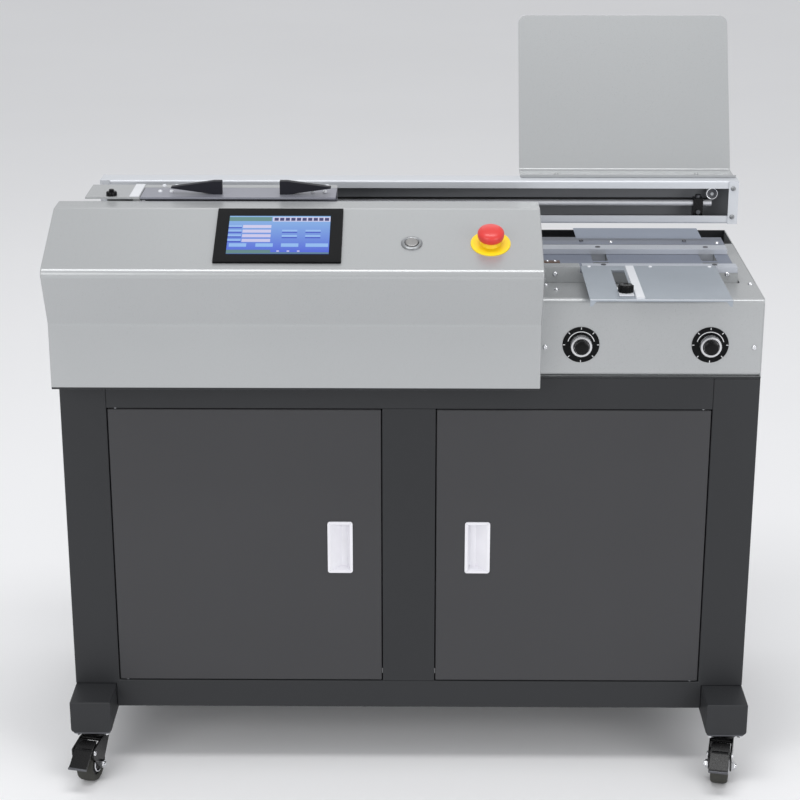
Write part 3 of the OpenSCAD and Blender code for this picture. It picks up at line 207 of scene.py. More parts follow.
def finished(name, bm, finishes, body, slot, *nodes):
    """Piece that rides on a body with the finishes given and stands for the CAD nodes named; its slot is
    not used.
    """
    piece = link_mesh(name, bm, finishes if isinstance(finishes, list) else [finishes])
    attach(piece, body)
    if nodes:
        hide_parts(*nodes)
    return piece


charcoal = made_finish("charcoal_powder_coat", (47, 48, 50), (0.42, 0.56), tone=0.035, tone_size=3,
                       grain=1100, depth=0.00005, shine=0.25)
foot_low, foot_high = cad_mm("foot_beams")
foot_w = 66
feet = bmesh.new()
for left in (foot_low.x, foot_high.x - foot_w):
    add_block(feet, (left, foot_low.y, foot_low.z), (left + foot_w, foot_high.y, foot_high.z))
soften(feet, 6, 4, choose=lambda e: all(v.co.z < foot_low.z + 1 for v in e.verts) and reach(e, 0) < 1)
soften(feet, 2.0, 3)
finished("foot_beam_tubes", feet, charcoal, "frame", "charcoal_paint", "foot_beams")


# Casters: zinc top plates bolted under the feet, black pressed forks on a ball race, dark rubber wheels
# with a bright bearing ring, and a bent black pedal on each front fork that brakes the wheel.
def joined(bm, part, place=Matrix()):
    """Adds a part's mesh to a piece, at a place."""
    part.transform(place)
    holder = bpy.data.meshes.new("holder")
    part.to_mesh(holder)
    part.free()
    bm.from_mesh(holder)
    bpy.data.meshes.remove(holder)


def painted(part, index):
    """Gives all faces of a part one of the finishes of its piece."""
    for face in part.faces:
        face.material_index = index
    return part


def turned(profile, steps=48, closed=False, index=0):
    """Part turned about Z from a profile of radius and height."""
    part = bmesh.new()
    ring = [part.verts.new((r, 0, h)) for r, h in profile]
    pairs = list(zip(ring, ring[1:])) + ([(ring[-1], ring[0])] if closed else [])
    edges = [part.edges.new(pair) for pair in pairs]
    bmesh.ops.spin(part, geom=ring + edges, cent=(0, 0, 0), axis=(0, 0, 1), dvec=(0, 0, 0), angle=math.tau,
                   steps=steps, use_merge=True, use_duplicate=False)
    bmesh.ops.remove_doubles(part, verts=part.verts, dist=0.0005)
    bmesh.ops.recalc_face_normals(part, faces=part.faces)
    return painted(part, index)


def drawn_out(bm, vec, edges=None):
    """Extrudes some edges, or else all faces, along a vector and turns the normals outwards."""
    if edges:
        made = bmesh.ops.extrude_edge_only(bm, edges=edges)["geom"]
    else:
        made = bmesh.ops.extrude_face_region(bm, geom=bm.faces[:])["geom"]
    bmesh.ops.translate(bm, vec=vec, verts=[v for v in made if isinstance(v, bmesh.types.BMVert)])
    bmesh.ops.recalc_face_normals(bm, faces=bm.faces)


def oblong(width, height):
    """Corners of a rectangle about the local origin."""
    return [(x * width / 2, y * height / 2) for x, y in ((-1, -1), (1, -1), (1, 1), (-1, 1))]


def outline_plate(points, thick, corner=0.0, edge=0.0, index=0):
    """Plate in the local XY plane with an outline of points, round at its corners, thick along +Z."""
    part = bmesh.new()
    part.faces.new([part.verts.new((x, y, 0)) for x, y in points])
    if corner:
        bevelled(part, part.verts[:], corner, 5, "VERTICES")
    drawn_out(part, (0, 0, thick))
    if edge:
        soften(part, edge, over=60)
    return painted(part, index)


def add_soft_block(bm, low, high, edge=1.0, segments=2, index=0):
    """Rectangular block with rounded edges, added to a piece."""
    part = bmesh.new()
    add_block(part, low, high)
    soften(part, edge, segments)
    joined(bm, painted(part, index))


def side_on(x):
    """Place that lays a local outline in the YZ plane, with its thickness along +X."""
    return Matrix(((0, 0, 1, x), (1, 0, 0, 0), (0, 1, 0, 0), (0, 0, 0, 1)))


def swept(path, left, right):
    """Strip that follows a path of Y and Z points and runs along X, and the edges that it starts from."""
    part = bmesh.new()
    spine = [part.verts.new((left, y, z)) for y, z in path]
    start = [part.edges.new(pair) for pair in zip(spine, spine[1:])]
    drawn_out(part, (right - left, 0, 0), start)
    return part, start


def mirrored(half):
    """Profile that goes on as its own mirror image."""
    return half + [(r, -h) for r, h in reversed(half)]


def hex_head(across, height, index=0):
    """Hexagon head along +Z with a turned chamfer."""
    part = bmesh.new()
    bmesh.ops.create_cone(part, cap_ends=True, cap_tris=False, segments=6, radius1=across * 0.577,
                          radius2=across * 0.577, depth=height, matrix=at(0, 0, height / 2))
    soften(part, height * 0.16, choose=lambda e: all(v.co.z > height * 0.9 for v in e.verts))
    return painted(part, index)


dark_zinc = made_finish("dark_zinc", (92, 93, 97), (0.3, 0.45), metal=0.8, tone=0.1, tone_size=60,
                        grain=700)
bright_steel = made_finish("bright_steel", (222, 223, 226), (0.12, 0.24), metal=1.0, tone=0.04,
                           tone_size=80)
black_enamel = made_finish("black_enamel", (14, 14, 15), (0.22, 0.36), tone=0.08, tone_size=20, grain=500,
                           depth=0.00004, coat=0.06, shine=0.22)
wheel_rubber = made_finish("wheel_rubber", (60, 60, 56), (0.6, 0.8), tone=0.16, tone_size=45, grain=420,
                           depth=0.00012, shine=0.25)
caster_in = 36
foot_x, front_y, rear_y = foot_high.x - foot_w / 2, foot_low.y + caster_in, foot_high.y - caster_in
trail, wheel_r, crown_z, plate_z = 24, 30, 67, foot_low.z - 3
leg_in, leg_t, pin_y, pin_z = 16, 3, 48, 61
casters = (("left_front", -foot_x, front_y, 166), ("right_front", foot_x, front_y, 168),
           ("left_rear", -foot_x, rear_y, 170), ("right_rear", foot_x, rear_y, 196))
along_axle = Matrix.Rotation(math.radians(90), 4, "Y")
upside_down = Matrix.Rotation(math.pi, 4, "X")

plates = bmesh.new()
for _, x, y, _ in casters:
    joined(plates, outline_plate(oblong(60, 68), 3, corner=6, edge=0.6), at(x, y, plate_z))
    for dx, dy in oblong(46, 54):
        joined(plates, hex_head(8, 4, 1), at(x + dx, y + dy, plate_z) @ upside_down)
    joined(plates, turned([(0, 62.7), (8.4, 62.7), (9, 63.3), (9, 66.2), (6, 66.6), (6, plate_z + 1),
                           (0, plate_z + 1)]), at(x, y, 0))
finished("caster_top_plates", plates, [dark_zinc, bright_steel], "frame", "machined_steel", "caster_plates")

for name, x, y, heading in casters:
    braked = "front" in name
    place = at(x, y, 0) @ Matrix.Rotation(math.radians(heading), 4, "Z")
    fork = bmesh.new()
    race = turned([(6.1, crown_z + 6), (20.6, crown_z + 6), (22, 74.5), (22, 78.4), (20.6, 79.6),
                   (20.6, 80.4), (22, 81.6), (22, 85), (20.8, 86.5), (6.1, 86.5)], closed=True)
    joined(fork, race)
    add_soft_block(fork, (-leg_in - leg_t, -20, crown_z), (leg_in + leg_t, 20, crown_z + 6), 2.4, 3)
    lug = pin_y + 6 if braked else 24
    leg = [(-20, 73), (20, 73), (lug, 67), (lug, 55), (trail + 9, 28), (trail + 5, 21.5), (trail - 5, 21.5),
           (trail - 9, 28)]
    for side in (-leg_in - leg_t, leg_in):
        joined(fork, outline_plate(leg, leg_t, corner=3.2, edge=0.7), side_on(side))
    for turn in (0, math.pi):
        nut = at(0, trail, wheel_r) @ Matrix.Rotation(turn, 4, "Z") @ along_axle
        joined(fork, hex_head(12, 5, 1), nut @ at(0, 0, leg_in + leg_t))
        joined(fork, turned([(0, 0), (4, 0), (4, 2.0), (3.2, 2.8), (0, 2.8)], 24, index=1),
               nut @ at(0, 0, leg_in + leg_t + 5))
        if braked:
            rivet = at(0, pin_y, pin_z) @ Matrix.Rotation(turn, 4, "Z") @ along_axle
            joined(fork, turned([(0, 0), (4.4, 0), (4, 1.3), (2.6, 2.1), (0, 2.4)], 24, index=1),
                   rivet @ at(0, 0, leg_in + leg_t))
    fork.transform(place)
    finished(name + "_caster_fork", fork, [black_enamel, bright_steel], name + "_fork", "black_metal",
             name + "_fork")

    wheel = bmesh.new()
    tread = mirrored([(19, 11.8), (22.5, 13.4), (26, 13.8), (28.2, 12.6), (29.4, 9.8), (29.9, 5)])
    core = mirrored([(4.2, 13), (9.8, 13), (10.6, 10.4), (18.2, 9.6), (19.4, 11.4)])
    joined(wheel, turned(tread, closed=True))
    joined(wheel, turned(core, closed=True, index=1))
    for turn in (0, math.pi):
        ring = turned([(11.6, 9.8), (11.6, 13.4), (12.4, 14.4), (14, 14.4), (15, 13.2), (15, 9.8)],
                      closed=True, index=2)
        joined(wheel, ring, Matrix.Rotation(turn, 4, "Y"))
    wheel.transform(place @ at(0, trail, wheel_r) @ along_axle)
    finished(name + "_caster_wheel", wheel, [wheel_rubber, black_enamel, bright_steel], name + "_wheel",
             "black_rubber", name + "_wheel")

    if braked:
        half, side = leg_in - 0.4, name.split("_")[0]
        pedal, _ = swept([(30, 72), (48, 64), (70, 46.5), (76, 43.5)], -half, half)
        drawn_out(pedal, (0, 1.6, 2.6))
        soften(pedal, 1.0, over=25)
        add_soft_block(pedal, (-half + 2, 47.5, 65), (half - 2, 51.5, 67.4), 0.9)
        lip = turned([(0, 0), (1.7, 0), (2.1, 0.6), (2.1, 2 * half - 0.6), (1.7, 2 * half), (0, 2 * half)],
                     20, index=1)
        joined(pedal, lip, at(-half, 77.5, 45) @ along_axle)
        boss = turned([(2.6, 0), (5.5, 0), (5.5, 2 * half), (2.6, 2 * half)], 28, closed=True)
        joined(pedal, boss, at(-half, pin_y, pin_z) @ along_axle)
        pedal.transform(place)
        finished(side + "_brake_flap", pedal, [black_enamel, dark_zinc], side + "_brake_pedal",
                 "black_metal", side + "_brake_pedal")


# Cabinet frame: square tube posts, rails and a stile welded flush, with side sheets and a floor, all in the
# charcoal powder coat of the feet. Fine lines stay where the tubes meet.
frame_low, frame_high = cad_mm("cabinet_frame")
post_w, post_d, rail_d, stile_w, seam = 72, 50, 30, 84, 0.4
wall_t, floor_out = 2, 68
rail_top, rail_under = foot_high.z + 7, frame_high.z - 51
opening_x = frame_high.x - post_w
cabinet = bmesh.new()
for front in (frame_low.y, frame_high.y - post_d):
    for left in (frame_low.x, opening_x):
        add_soft_block(cabinet, (left, front, foot_high.z), (left + post_w, front + post_d, frame_high.z),
                       2.0, 3)
for front in (frame_low.y + seam, frame_high.y - rail_d):
    rail_end = opening_x + 6
    add_soft_block(cabinet, (-rail_end, front, frame_low.z), (rail_end, front + rail_d - seam, rail_top),
                   2.0, 3)
    add_soft_block(cabinet, (-opening_x, front, rail_under),
                   (opening_x, front + rail_d - seam, frame_high.z), 1.2)
add_soft_block(cabinet, (-stile_w / 2, frame_low.y + seam, rail_top),
               (stile_w / 2, frame_low.y + rail_d, rail_under), 1.2)
for left in (frame_low.x + seam, frame_high.x - wall_t):
    add_soft_block(cabinet, (left, frame_low.y + post_d, foot_high.z),
                   (left + wall_t - seam, frame_high.y - post_d, frame_high.z), 0.4)
add_soft_block(cabinet, (-opening_x - floor_out, frame_low.y + post_d, rail_top - wall_t),
               (opening_x + floor_out, frame_high.y - post_d, rail_top), 0.5)
finished("cabinet_tubes", cabinet, charcoal, "frame", "charcoal_paint", "cabinet_frame")


# Back panel: one charcoal sheet screwed over the rear of the frame and the machinery above it, with a
# window for the power inlet.
def windowed_plate(width, depth, windows, thick=0.0, edge=0.0):
    """Plate from the local origin along X and Y with rectangular windows, thick along -Z."""
    part = bmesh.new()
    place = at(width / 2, depth / 2, 0) @ Matrix.Diagonal((width, depth, 1, 1))
    bmesh.ops.create_grid(part, x_segments=1, y_segments=1, size=0.5, matrix=place)
    for x0, y0, x1, y1 in windows:
        for spot, across in (((x0, 0, 0), (1, 0, 0)), ((x1, 0, 0), (1, 0, 0)), ((0, y0, 0), (0, 1, 0)),
                             ((0, y1, 0), (0, 1, 0))):
            whole = part.verts[:] + part.edges[:] + part.faces[:]
            bmesh.ops.bisect_plane(part, geom=whole, dist=0.001, plane_co=spot, plane_no=across)
        middles = [(face, face.calc_center_median()) for face in part.faces]
        gone = [face for face, c in middles if x0 < c.x < x1 and y0 < c.y < y1]
        bmesh.ops.delete(part, geom=gone, context="FACES")
    if thick:
        drawn_out(part, (0, 0, -thick))
    if edge:
        soften(part, edge, over=60)
    return part


def button_head(across, height, index=0):
    """Round screw head along +Z with a driver's recess."""
    r, h = across / 2, height
    return turned([(0, h * 0.45), (r * 0.3, h * 0.45), (r * 0.42, h * 0.98), (r * 0.62, h),
                   (r * 0.88, h * 0.72), (r, h * 0.3), (r, 0), (0, 0)], 28, index=index)


to_back, to_front = Matrix.Rotation(math.radians(-90), 4, "X"), Matrix.Rotation(math.radians(90), 4, "X")
panel_low, panel_high = cad_mm("back_panel")
inlet_low, inlet_high = cad_mm("power_inlet")
inlet_rim = 6
inlet_window = (inlet_low.x + inlet_rim - panel_low.x, inlet_low.z + inlet_rim - panel_low.z,
                inlet_high.x - inlet_rim - panel_low.x, inlet_high.z - inlet_rim - panel_low.z)
panel = windowed_plate(panel_high.x - panel_low.x, panel_high.z - panel_low.z, [inlet_window], 2, 0.5)
panel.transform(at(panel_low.x, panel_low.y, panel_low.z) @ to_front)
screw_in, screw_end_x, screw_mid_x, screw_mid_z = 14, 520, 175, 330
for x in (-screw_end_x, -screw_mid_x, screw_mid_x, screw_end_x):
    for z in (panel_low.z + screw_in, panel_low.z + screw_mid_z, frame_high.z - screw_in):
        joined(panel, button_head(9, 2.4, 1), at(x, panel_high.y, z) @ to_back)
finished("back_sheet", panel, [charcoal, dark_zinc], "frame", "charcoal_paint", "back_panel")


# Power inlet: a moulded black socket flanged on the back panel, held by two screws, with three flat pins
# inside.
def cad_copy(node, edge, segments=2, over=35):
    """Copy of a CAD node's mesh in millimetres, welded, with whole flat faces and rounded edges."""
    bm = bmesh.new()
    bm.from_mesh(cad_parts[node].data)
    bmesh.ops.scale(bm, vec=(1 / MM, 1 / MM, 1 / MM), verts=bm.verts)
    bmesh.ops.remove_doubles(bm, verts=bm.verts, dist=0.001)
    bmesh.ops.dissolve_limit(bm, angle_limit=math.radians(1), verts=bm.verts, edges=bm.edges)
    soften(painted(bm, 0), edge, segments, over)
    return bm


def cad_middle(node):
    """Middle of a CAD node's box, in millimetres."""
    low, high = cad_mm(node)
    return (low + high) / 2


black_plastic = made_finish("black_plastic", (8, 9, 11), (0.3, 0.45), tone=0.1, tone_size=30, grain=1400,
                            depth=0.00005, shine=0.12)
inlet = cad_copy("power_inlet", 0.6)
inlet_x, _, inlet_z = cad_middle("power_inlet")
for x, z in ((-6.5, -2.5), (6.5, -2.5), (0, 3)):
    add_soft_block(inlet, (inlet_x + x - 1.2, panel_high.y - 21, inlet_z + z - 2.4),
                   (inlet_x + x + 1.2, panel_high.y - 5, inlet_z + z + 2.4), 0.4, index=1)
for x in (-25, 25):
    joined(inlet, button_head(6, 1.8, 1), at(inlet_x + x, inlet_high.y, inlet_z) @ to_back)
finished("inlet_socket", inlet, [black_plastic, bright_steel], "frame", "black_plastic", "power_inlet")


# Door pivot pins and chip bin: turned steel pins pressed into the rails, and a folded aluminium bin on the
# cabinet's floor.
def dress(node, finish):
    """Gives a CAD node that stays in view its finish."""
    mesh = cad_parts[node].data
    mesh.materials.clear()
    mesh.materials.append(finish)


machined = made_finish("machined_steel", (176, 178, 182), (0.24, 0.42), metal=0.9, tone=0.07, tone_size=40,
                       grain=600, stretch=(1, 8, 8))
satin_aluminium = made_finish("satin_aluminium", (157, 164, 172), (0.34, 0.46), metal=0.35, tone_size=8,
                              grain=420, depth=0.00002, stretch=(1, 14, 1))
dress("hinge_pins", machined)
bin_low, bin_high = cad_mm("chip_bin")
chip_bin = cad_copy("chip_bin", 0.8)
for front in (bin_low.y - 3, bin_high.y):
    add_soft_block(chip_bin, (bin_low.x, front, bin_high.z - 10), (bin_high.x, front + 3, bin_high.z), 1.2)
finished("folded_chip_bin", chip_bin, satin_aluminium, "frame", "table_aluminium", "chip_bin")


# Doors: folded steel pans in the charcoal coat with rounded front edges, hung on pivot bosses at their
# outer corners. Each has a window for its pull.
def lies_on(part, axis, end):
    """Whether an edge or a face lies in the plane at a place on an axis."""
    return all(abs(v.co[axis] - end) < 0.01 for v in part.verts)


door_grey = made_finish("door_powder_coat", (63, 63, 65), (0.42, 0.56), tone=0.03, tone_size=3, grain=1100,
                        depth=0.00005, shine=0.25)
white_plastic = made_finish("white_plastic", (228, 227, 232), (0.3, 0.42), tone=0.03, tone_size=30,
                            grain=1200)
sheet_t, boss, boss_w = 1.5, 14, 20.5
pull_w, pull_h, pull_rim = 40, 88, 4
scoop_shift, scoop_w, scoop_h = 7.2, 0.33, 0.94
for side, free in (("left", 1), ("right", -1)):
    low, high = cad_mm(side + "_door")
    pull_x, _, pull_z = cad_middle(side + "_handle")
    width, height = high.x - low.x, high.z - low.z
    window = (pull_x - pull_w / 2 + pull_rim - low.x, pull_z - pull_h / 2 + pull_rim - low.z,
              pull_x + pull_w / 2 - pull_rim - low.x, pull_z + pull_h / 2 - pull_rim - low.z)
    door = windowed_plate(width, height, [window])
    sides = ((0, 0), (0, width), (1, 0), (1, height))
    rim = [e for e in door.edges if e.is_boundary and any(lies_on(e, axis, end) for axis, end in sides)]
    drawn_out(door, (0, 0, low.y - high.y), rim)
    soften(door, 2.2, 4)
    bmesh.ops.solidify(door, geom=door.faces[:], thickness=sheet_t)
    door.transform(at(low.x, low.y, low.z) @ to_front)
    for z in (low.z + sheet_t, high.z - boss):
        outer = low.x + sheet_t if free > 0 else high.x - sheet_t - boss_w
        add_soft_block(door, (outer, low.y + sheet_t, z), (outer + boss_w, high.y - 4, z + boss - sheet_t),
                       0.8)
    finished(side + "_door_pan", door, door_grey, side + "_door", "charcoal_paint", side + "_door")

    pull = outline_plate(oblong(pull_w, pull_h), 2, corner=pull_rim)
    cup = min(pull.faces, key=lambda f: f.calc_center_median().z)
    scoop = max(pull.faces, key=lambda f: f.calc_center_median().z)
    for face, rim, floor in ((cup, 4.8, -12.8), (scoop, 4.6, -10.4)):
        bmesh.ops.inset_region(pull, faces=[face], thickness=rim)
        deep = bmesh.ops.extrude_discrete_faces(pull, faces=[face])["faces"][0]
        for vert in deep.verts:
            vert.co.z = floor
            if face == scoop:
                vert.co.x = free * (scoop_shift + free * vert.co.x * scoop_w)
                vert.co.y *= scoop_h
    bmesh.ops.recalc_face_normals(pull, faces=pull.faces)
    soften(pull, 0.8, 3, over=30)
    pull.transform(at(pull_x, low.y, pull_z) @ to_front)
    finished(side + "_door_pull", pull, white_plastic, side + "_door", "white_plastic", side + "_handle")


# Deck and console: the deck is a flat sheet on the cabinet with charcoal edges, the console a bent cover
# with welded ends and a side wall, both in fine silver-grey paint. The cover is open at the rear and below.
silver = made_finish("silver_paint", (172, 174, 175), (0.26, 0.36), metal=0.42, tone=0.015, tone_size=2.5,
                     grain=1300)
deck = cad_copy("deck_plate", 0.7)
for face in deck.faces:
    face.material_index = 0 if abs(face.normal.z) > 0.9 else 1
finished("deck_sheet", deck, [silver, charcoal], "frame", "silver_paint", "deck_plate")

console_low, console_high = cad_mm("console_cover")
cover_t, flange, wall_h = 2, 24, 150
deck_top, console_top = console_low.z, console_high.z
rear_y, slope_top_y, bend_y, face_y = -85, -133, console_low.y, -237
bend_z, face_z = console_top - 63, deck_top + 100
outline = [(rear_y, console_top), (slope_top_y, console_top), (bend_y, bend_z), (face_y, face_z),
           (face_y, deck_top), (rear_y, deck_top)]
console = bmesh.new()
console.faces.new([console.verts.new((console_low.x, y, z)) for y, z in outline])
drawn_out(console, (console_high.x - console_low.x, 0, 0))
for fold_r, main in ((12, True), (3, False)):
    soften(console, fold_r, 10 if main else 4, over=15, choose=lambda e: reach(e, 0) > 100
           and e.verts[0].co.z > deck_top + 1 and (abs(e.verts[0].co.z - bend_z) < 0.1) == main)
soften(console, 1.8, 3, over=60, choose=lambda e: reach(e, 0) < 0.01 and not lies_on(e, 1, rear_y)
       and not lies_on(e, 2, deck_top))
for axis, end, keep in ((1, rear_y, (0, 0, console_top - flange)), (2, deck_top, (0, face_y + flange, 0))):
    open_side = [f for f in console.faces if lies_on(f, axis, end)]
    rim = set(e for f in open_side for e in f.edges) | set(v for f in open_side for v in f.verts)
    cut_along = (0, 0, 1) if axis == 1 else (0, -1, 0)
    bmesh.ops.bisect_plane(console, geom=open_side + list(rim), dist=0.001, plane_co=keep,
                           plane_no=cut_along)
    beyond = [f for f in console.faces if lies_on(f, axis, end)
              and (f.calc_center_median() - Vector(keep)).dot(Vector(cut_along)) < 0]
    bmesh.ops.delete(console, geom=beyond, context="FACES")
bmesh.ops.solidify(console, geom=console.faces[:], thickness=cover_t)
add_soft_block(console, (console_low.x, rear_y, deck_top),
               (console_low.x + cover_t, console_high.y, deck_top + wall_h), 0.6)
finished("console_shell", console, silver, "frame", "silver_paint", "console_cover")


# Touch screen: a black moulded bezel clipped on the slope with its housing behind, and a lit panel of glass
# that shows plain fields and buttons without words.
def on_slope(x, up):
    """Place on the control slope: X across, Y up the slope from the bend, Z out of the sheet."""
    lean = math.atan2(console_top - bend_z, slope_top_y - bend_y)
    return at(x, bend_y, bend_z) @ Matrix.Rotation(lean, 4, "X") @ at(0, up, 0)


def lit(name, low_rgb, high_rgb):
    """Glowing finish that runs from one colour at the screen's bottom to another at its top."""
    finish, tree, shader = new_finish(name, Base_Color=(0.01, 0.01, 0.015, 1), Roughness=0.2,
                                      Emission_Strength=0.8)
    place = add_node(tree, "TexCoord")
    axes = add_node(tree, "SeparateXYZ")
    rise = add_node(tree, "MapRange", From_Min=screen_low.z * MM, From_Max=screen_high.z * MM)
    ramp = add_node(tree, "ValToRGB")
    ramp.color_ramp.elements[0].color = srgb(*low_rgb)
    ramp.color_ramp.elements[1].color = srgb(*high_rgb)
    wire(tree, (place, "Object", axes, "Vector"), (axes, "Z", rise, "Value"), (rise, "Result", ramp, "Fac"),
         (ramp, "Color", shader, "Emission Color"))
    return finish


bezel_w, bezel_h, bezel_t, bezel_up = 191, 131, 4, 23
screen_w, screen_h, housing_w, housing_h, housing_d = 153, 92.5, 174, 114, 30
screen_low, screen_high = cad_mm("screen_glass")
screen_place = on_slope(cad_middle("screen_glass").x, bezel_up + bezel_h / 2)
rim_x, rim_y = (bezel_w - screen_w) / 2 - 0.4, (bezel_h - screen_h) / 2 - 0.4
bezel = windowed_plate(bezel_w, bezel_h, [(rim_x, rim_y, bezel_w - rim_x, bezel_h - rim_y)], bezel_t, 0.9)
bezel.transform(at(-bezel_w / 2, -bezel_h / 2, bezel_t))
add_block(bezel, (rim_x - bezel_w / 2 - 1, rim_y - bezel_h / 2 - 1, 0.4),
          (bezel_w / 2 - rim_x + 1, bezel_h / 2 - rim_y + 1, 2.4))
add_soft_block(bezel, (-housing_w / 2, -housing_h / 2, -housing_d),
               (housing_w / 2, housing_h / 2, -cover_t - 0.3), 1.5)
bezel.transform(screen_place)
finished("screen_surround", bezel, black_plastic, "frame", "black_plastic", "screen_bezel")

marks = [(0, 0.03, 0.42, 0.14, 1), (0.43, 0.03, 1, 0.15, 2), (0, 0.9, 0.43, 1, 1), (0.43, 0.965, 1, 1, 1)]
marks += [(0.445 + 0.0555 * i, 0.05, 0.487 + 0.0555 * i, 0.13, 3) for i in range(10)]
for row in range(4):
    marks += [(0, 0.25 + 0.123 * row, 0.13, 0.3 + 0.123 * row, 4),
              (0, 0.3 + 0.123 * row, 0.13, 0.335 + 0.123 * row, 5),
              (0.14, 0.245 + 0.123 * row, 0.42, 0.325 + 0.123 * row, 2)]
for left in (0.53, 0.76):
    for top in (0.37, 0.51):
        marks += [(left, top, left + 0.15, top + 0.05, 4), (left, top + 0.05, left + 0.15, top + 0.085, 5)]
marks += [(left, 0.73, left + width, 0.82, 4) for left,
          width in ((0.02, 0.17), (0.28, 0.17), (0.53, 0.17), (0.77, 0.22))]
marks += [(0.49 + 0.1 * i, 0.915, 0.515 + 0.1 * i, 0.95, 2) for i in range(3)]
glass = outline_plate(oblong(screen_w, screen_h), 1)
for axis, span, turn in ((0, screen_w, 1), (1, screen_h, -1)):
    for share in sorted(set(mark[axis] for mark in marks) | set(mark[axis + 2] for mark in marks)):
        spot = [0, 0, 0]
        spot[axis] = turn * (share - 0.5) * span
        if 0 < share < 1:
            bmesh.ops.bisect_plane(glass, geom=glass.verts[:] + glass.edges[:] + glass.faces[:],
                                   dist=0.0001, plane_co=spot, plane_no=(1 - axis, axis, 0))
for face in glass.faces:
    middle = face.calc_center_median()
    across, down = middle.x / screen_w + 0.5, 0.5 - middle.y / screen_h
    for left, top, right, bottom, index in marks:
        if left < across < right and top < down < bottom:
            face.material_index = index
glass.transform(screen_place @ at(0, 0, 2.7))
screen_lit = [lit("screen_blue", (58, 84, 226), (140, 190, 242)),
              lit("screen_strip", (88, 132, 132), (96, 146, 140)),
              lit("screen_field", (206, 204, 246), (222, 220, 250)),
              lit("screen_tab", (40, 40, 120), (34, 34, 104)),
              lit("screen_button", (148, 196, 255), (156, 196, 250)),
              lit("screen_shade", (44, 72, 200), (52, 84, 206))]
finished("lit_screen", glass, screen_lit, "frame", "screen_glass", "screen_glass")


# Power button: a flanged satin steel ring clamped through the slope by its barrel, with a brushed steel cap
# that travels in it.
button_x, controls_up = 4, 72
button_place = on_slope(button_x, controls_up)
brushed_cap = made_finish("brushed_cap", (150, 149, 148), (0.3, 0.45), metal=0.7, tone=0.1, tone_size=120,
                          grain=300, stretch=(1, 20, 1))
satin_ring = made_finish("satin_ring", (150, 152, 154), (0.24, 0.36), metal=0.75, tone_size=80)
ring = turned([(10.1, -24), (11.4, -24), (11.4, -0.1), (16, -0.1), (16, 1.4), (15.2, 2.4), (13.6, 3),
               (11.8, 2.9), (10.6, 2.2), (10.1, 1.4)], 64, closed=True)
ring.transform(button_place)
finished("button_ring", ring, satin_ring, "frame", "chrome", "power_button_ring")
cap = turned([(0, -21), (9.9, -21), (9.9, 2.6), (9.4, 3.2), (8.6, 3.5), (8.2, 3.2), (0, 3.1)], 64)
cap.transform(button_place)
finished("button_cap", cap, brushed_cap, "power_button", "button_steel", "power_button")


# Emergency stop: a bare yellow disc with its collar on the slope, a black stem that slides in it, and a red
# moulded mushroom that twists on the stem.
stop_x = 122
stop_place = on_slope(stop_x, controls_up)
stop_yellow = made_finish("stop_yellow", (250, 214, 22), (0.36, 0.48), tone=0.03, tone_size=30, grain=1000)
stop_red = made_finish("stop_red", (214, 52, 48), (0.3, 0.42), tone=0.04, tone_size=40, coat=0.2)
base = turned([(8.1, -24), (12, -24), (12, -0.1), (30, -0.1), (30, 1.2), (29.2, 2), (16.5, 2), (15.6, 2.4),
               (13.6, 6.8), (12.6, 8), (8.1, 8)], 72, closed=True)
base.transform(stop_place)
finished("stop_disc", base, stop_yellow, "frame", "stop_yellow", "estop_base")
stem = turned([(0, -16), (7.9, -16), (7.9, 14.2), (7.2, 14.9), (5, 14.9), (5, 20.9), (0, 20.9)], 48)
stem.transform(stop_place)
finished("stop_stem", stem, black_plastic, "estop_stem", "black_plastic", "estop_stem")
mushroom = turned([(0, 21), (5.1, 21), (5.1, 15), (15.4, 15), (16, 12), (17.6, 11.6), (19, 12.4),
                   (19.9, 15.4), (20, 19.4), (19.7, 21.4), (18.6, 23.4), (16, 25.4), (12, 26.9), (7, 27.7),
                   (0, 28)], 72)
mushroom.transform(stop_place)
finished("stop_mushroom", mushroom, stop_red, "estop_head", "stop_red", "estop_mushroom")


# Right cover: one sheet bent over the front and the top with a round front edge, and the machine's right
# wall, in the console's silver-grey paint.
def bent_sheet(path, left, right, thick, bend, outward, segments=4):
    """Sheet that follows a path of Y and Z points along X, round at its folds, thick away from outward."""
    part, start = swept(path, left, right)
    part.normal_update()
    if start[0].link_faces[0].normal.dot(Vector(outward)) < 0:
        bmesh.ops.reverse_faces(part, faces=part.faces)
    soften(part, bend, segments, over=5)
    part.normal_update()
    bmesh.ops.solidify(part, geom=part.faces[:], thickness=thick)
    return part


cover_low, cover_high = cad_mm("right_cover")
cover_front, top_rear_y, round_edge = cover_low.y, cover_low.y + 92, 8
cover = bent_sheet([(top_rear_y, cover_high.z), (cover_front, cover_high.z), (cover_front, deck_top),
                    (cover_front + flange, deck_top)], cover_low.x, cover_high.x - cover_t, cover_t,
                   round_edge, (0, 0, 1), 6)
wall = outline_plate([(cover_front, deck_top), (cover_high.y, deck_top), (cover_high.y, cover_high.z),
                      (cover_front + round_edge, cover_high.z), (cover_front + 0.3 * round_edge,
                                                                 cover_high.z - 0.3 * round_edge),
                      (cover_front, cover_high.z - round_edge)], cover_t, edge=0.7)
joined(cover, wall, side_on(cover_high.x - cover_t))
station_high = cad_mm("nip_base")[1]
add_soft_block(cover, (station_high.x + 3, top_rear_y, cover_high.z - cover_t),
               (cover_high.x, station_high.y + 55, cover_high.z), 0.8)
finished("right_cover_sheet", cover, silver, "frame", "silver_paint", "right_cover")


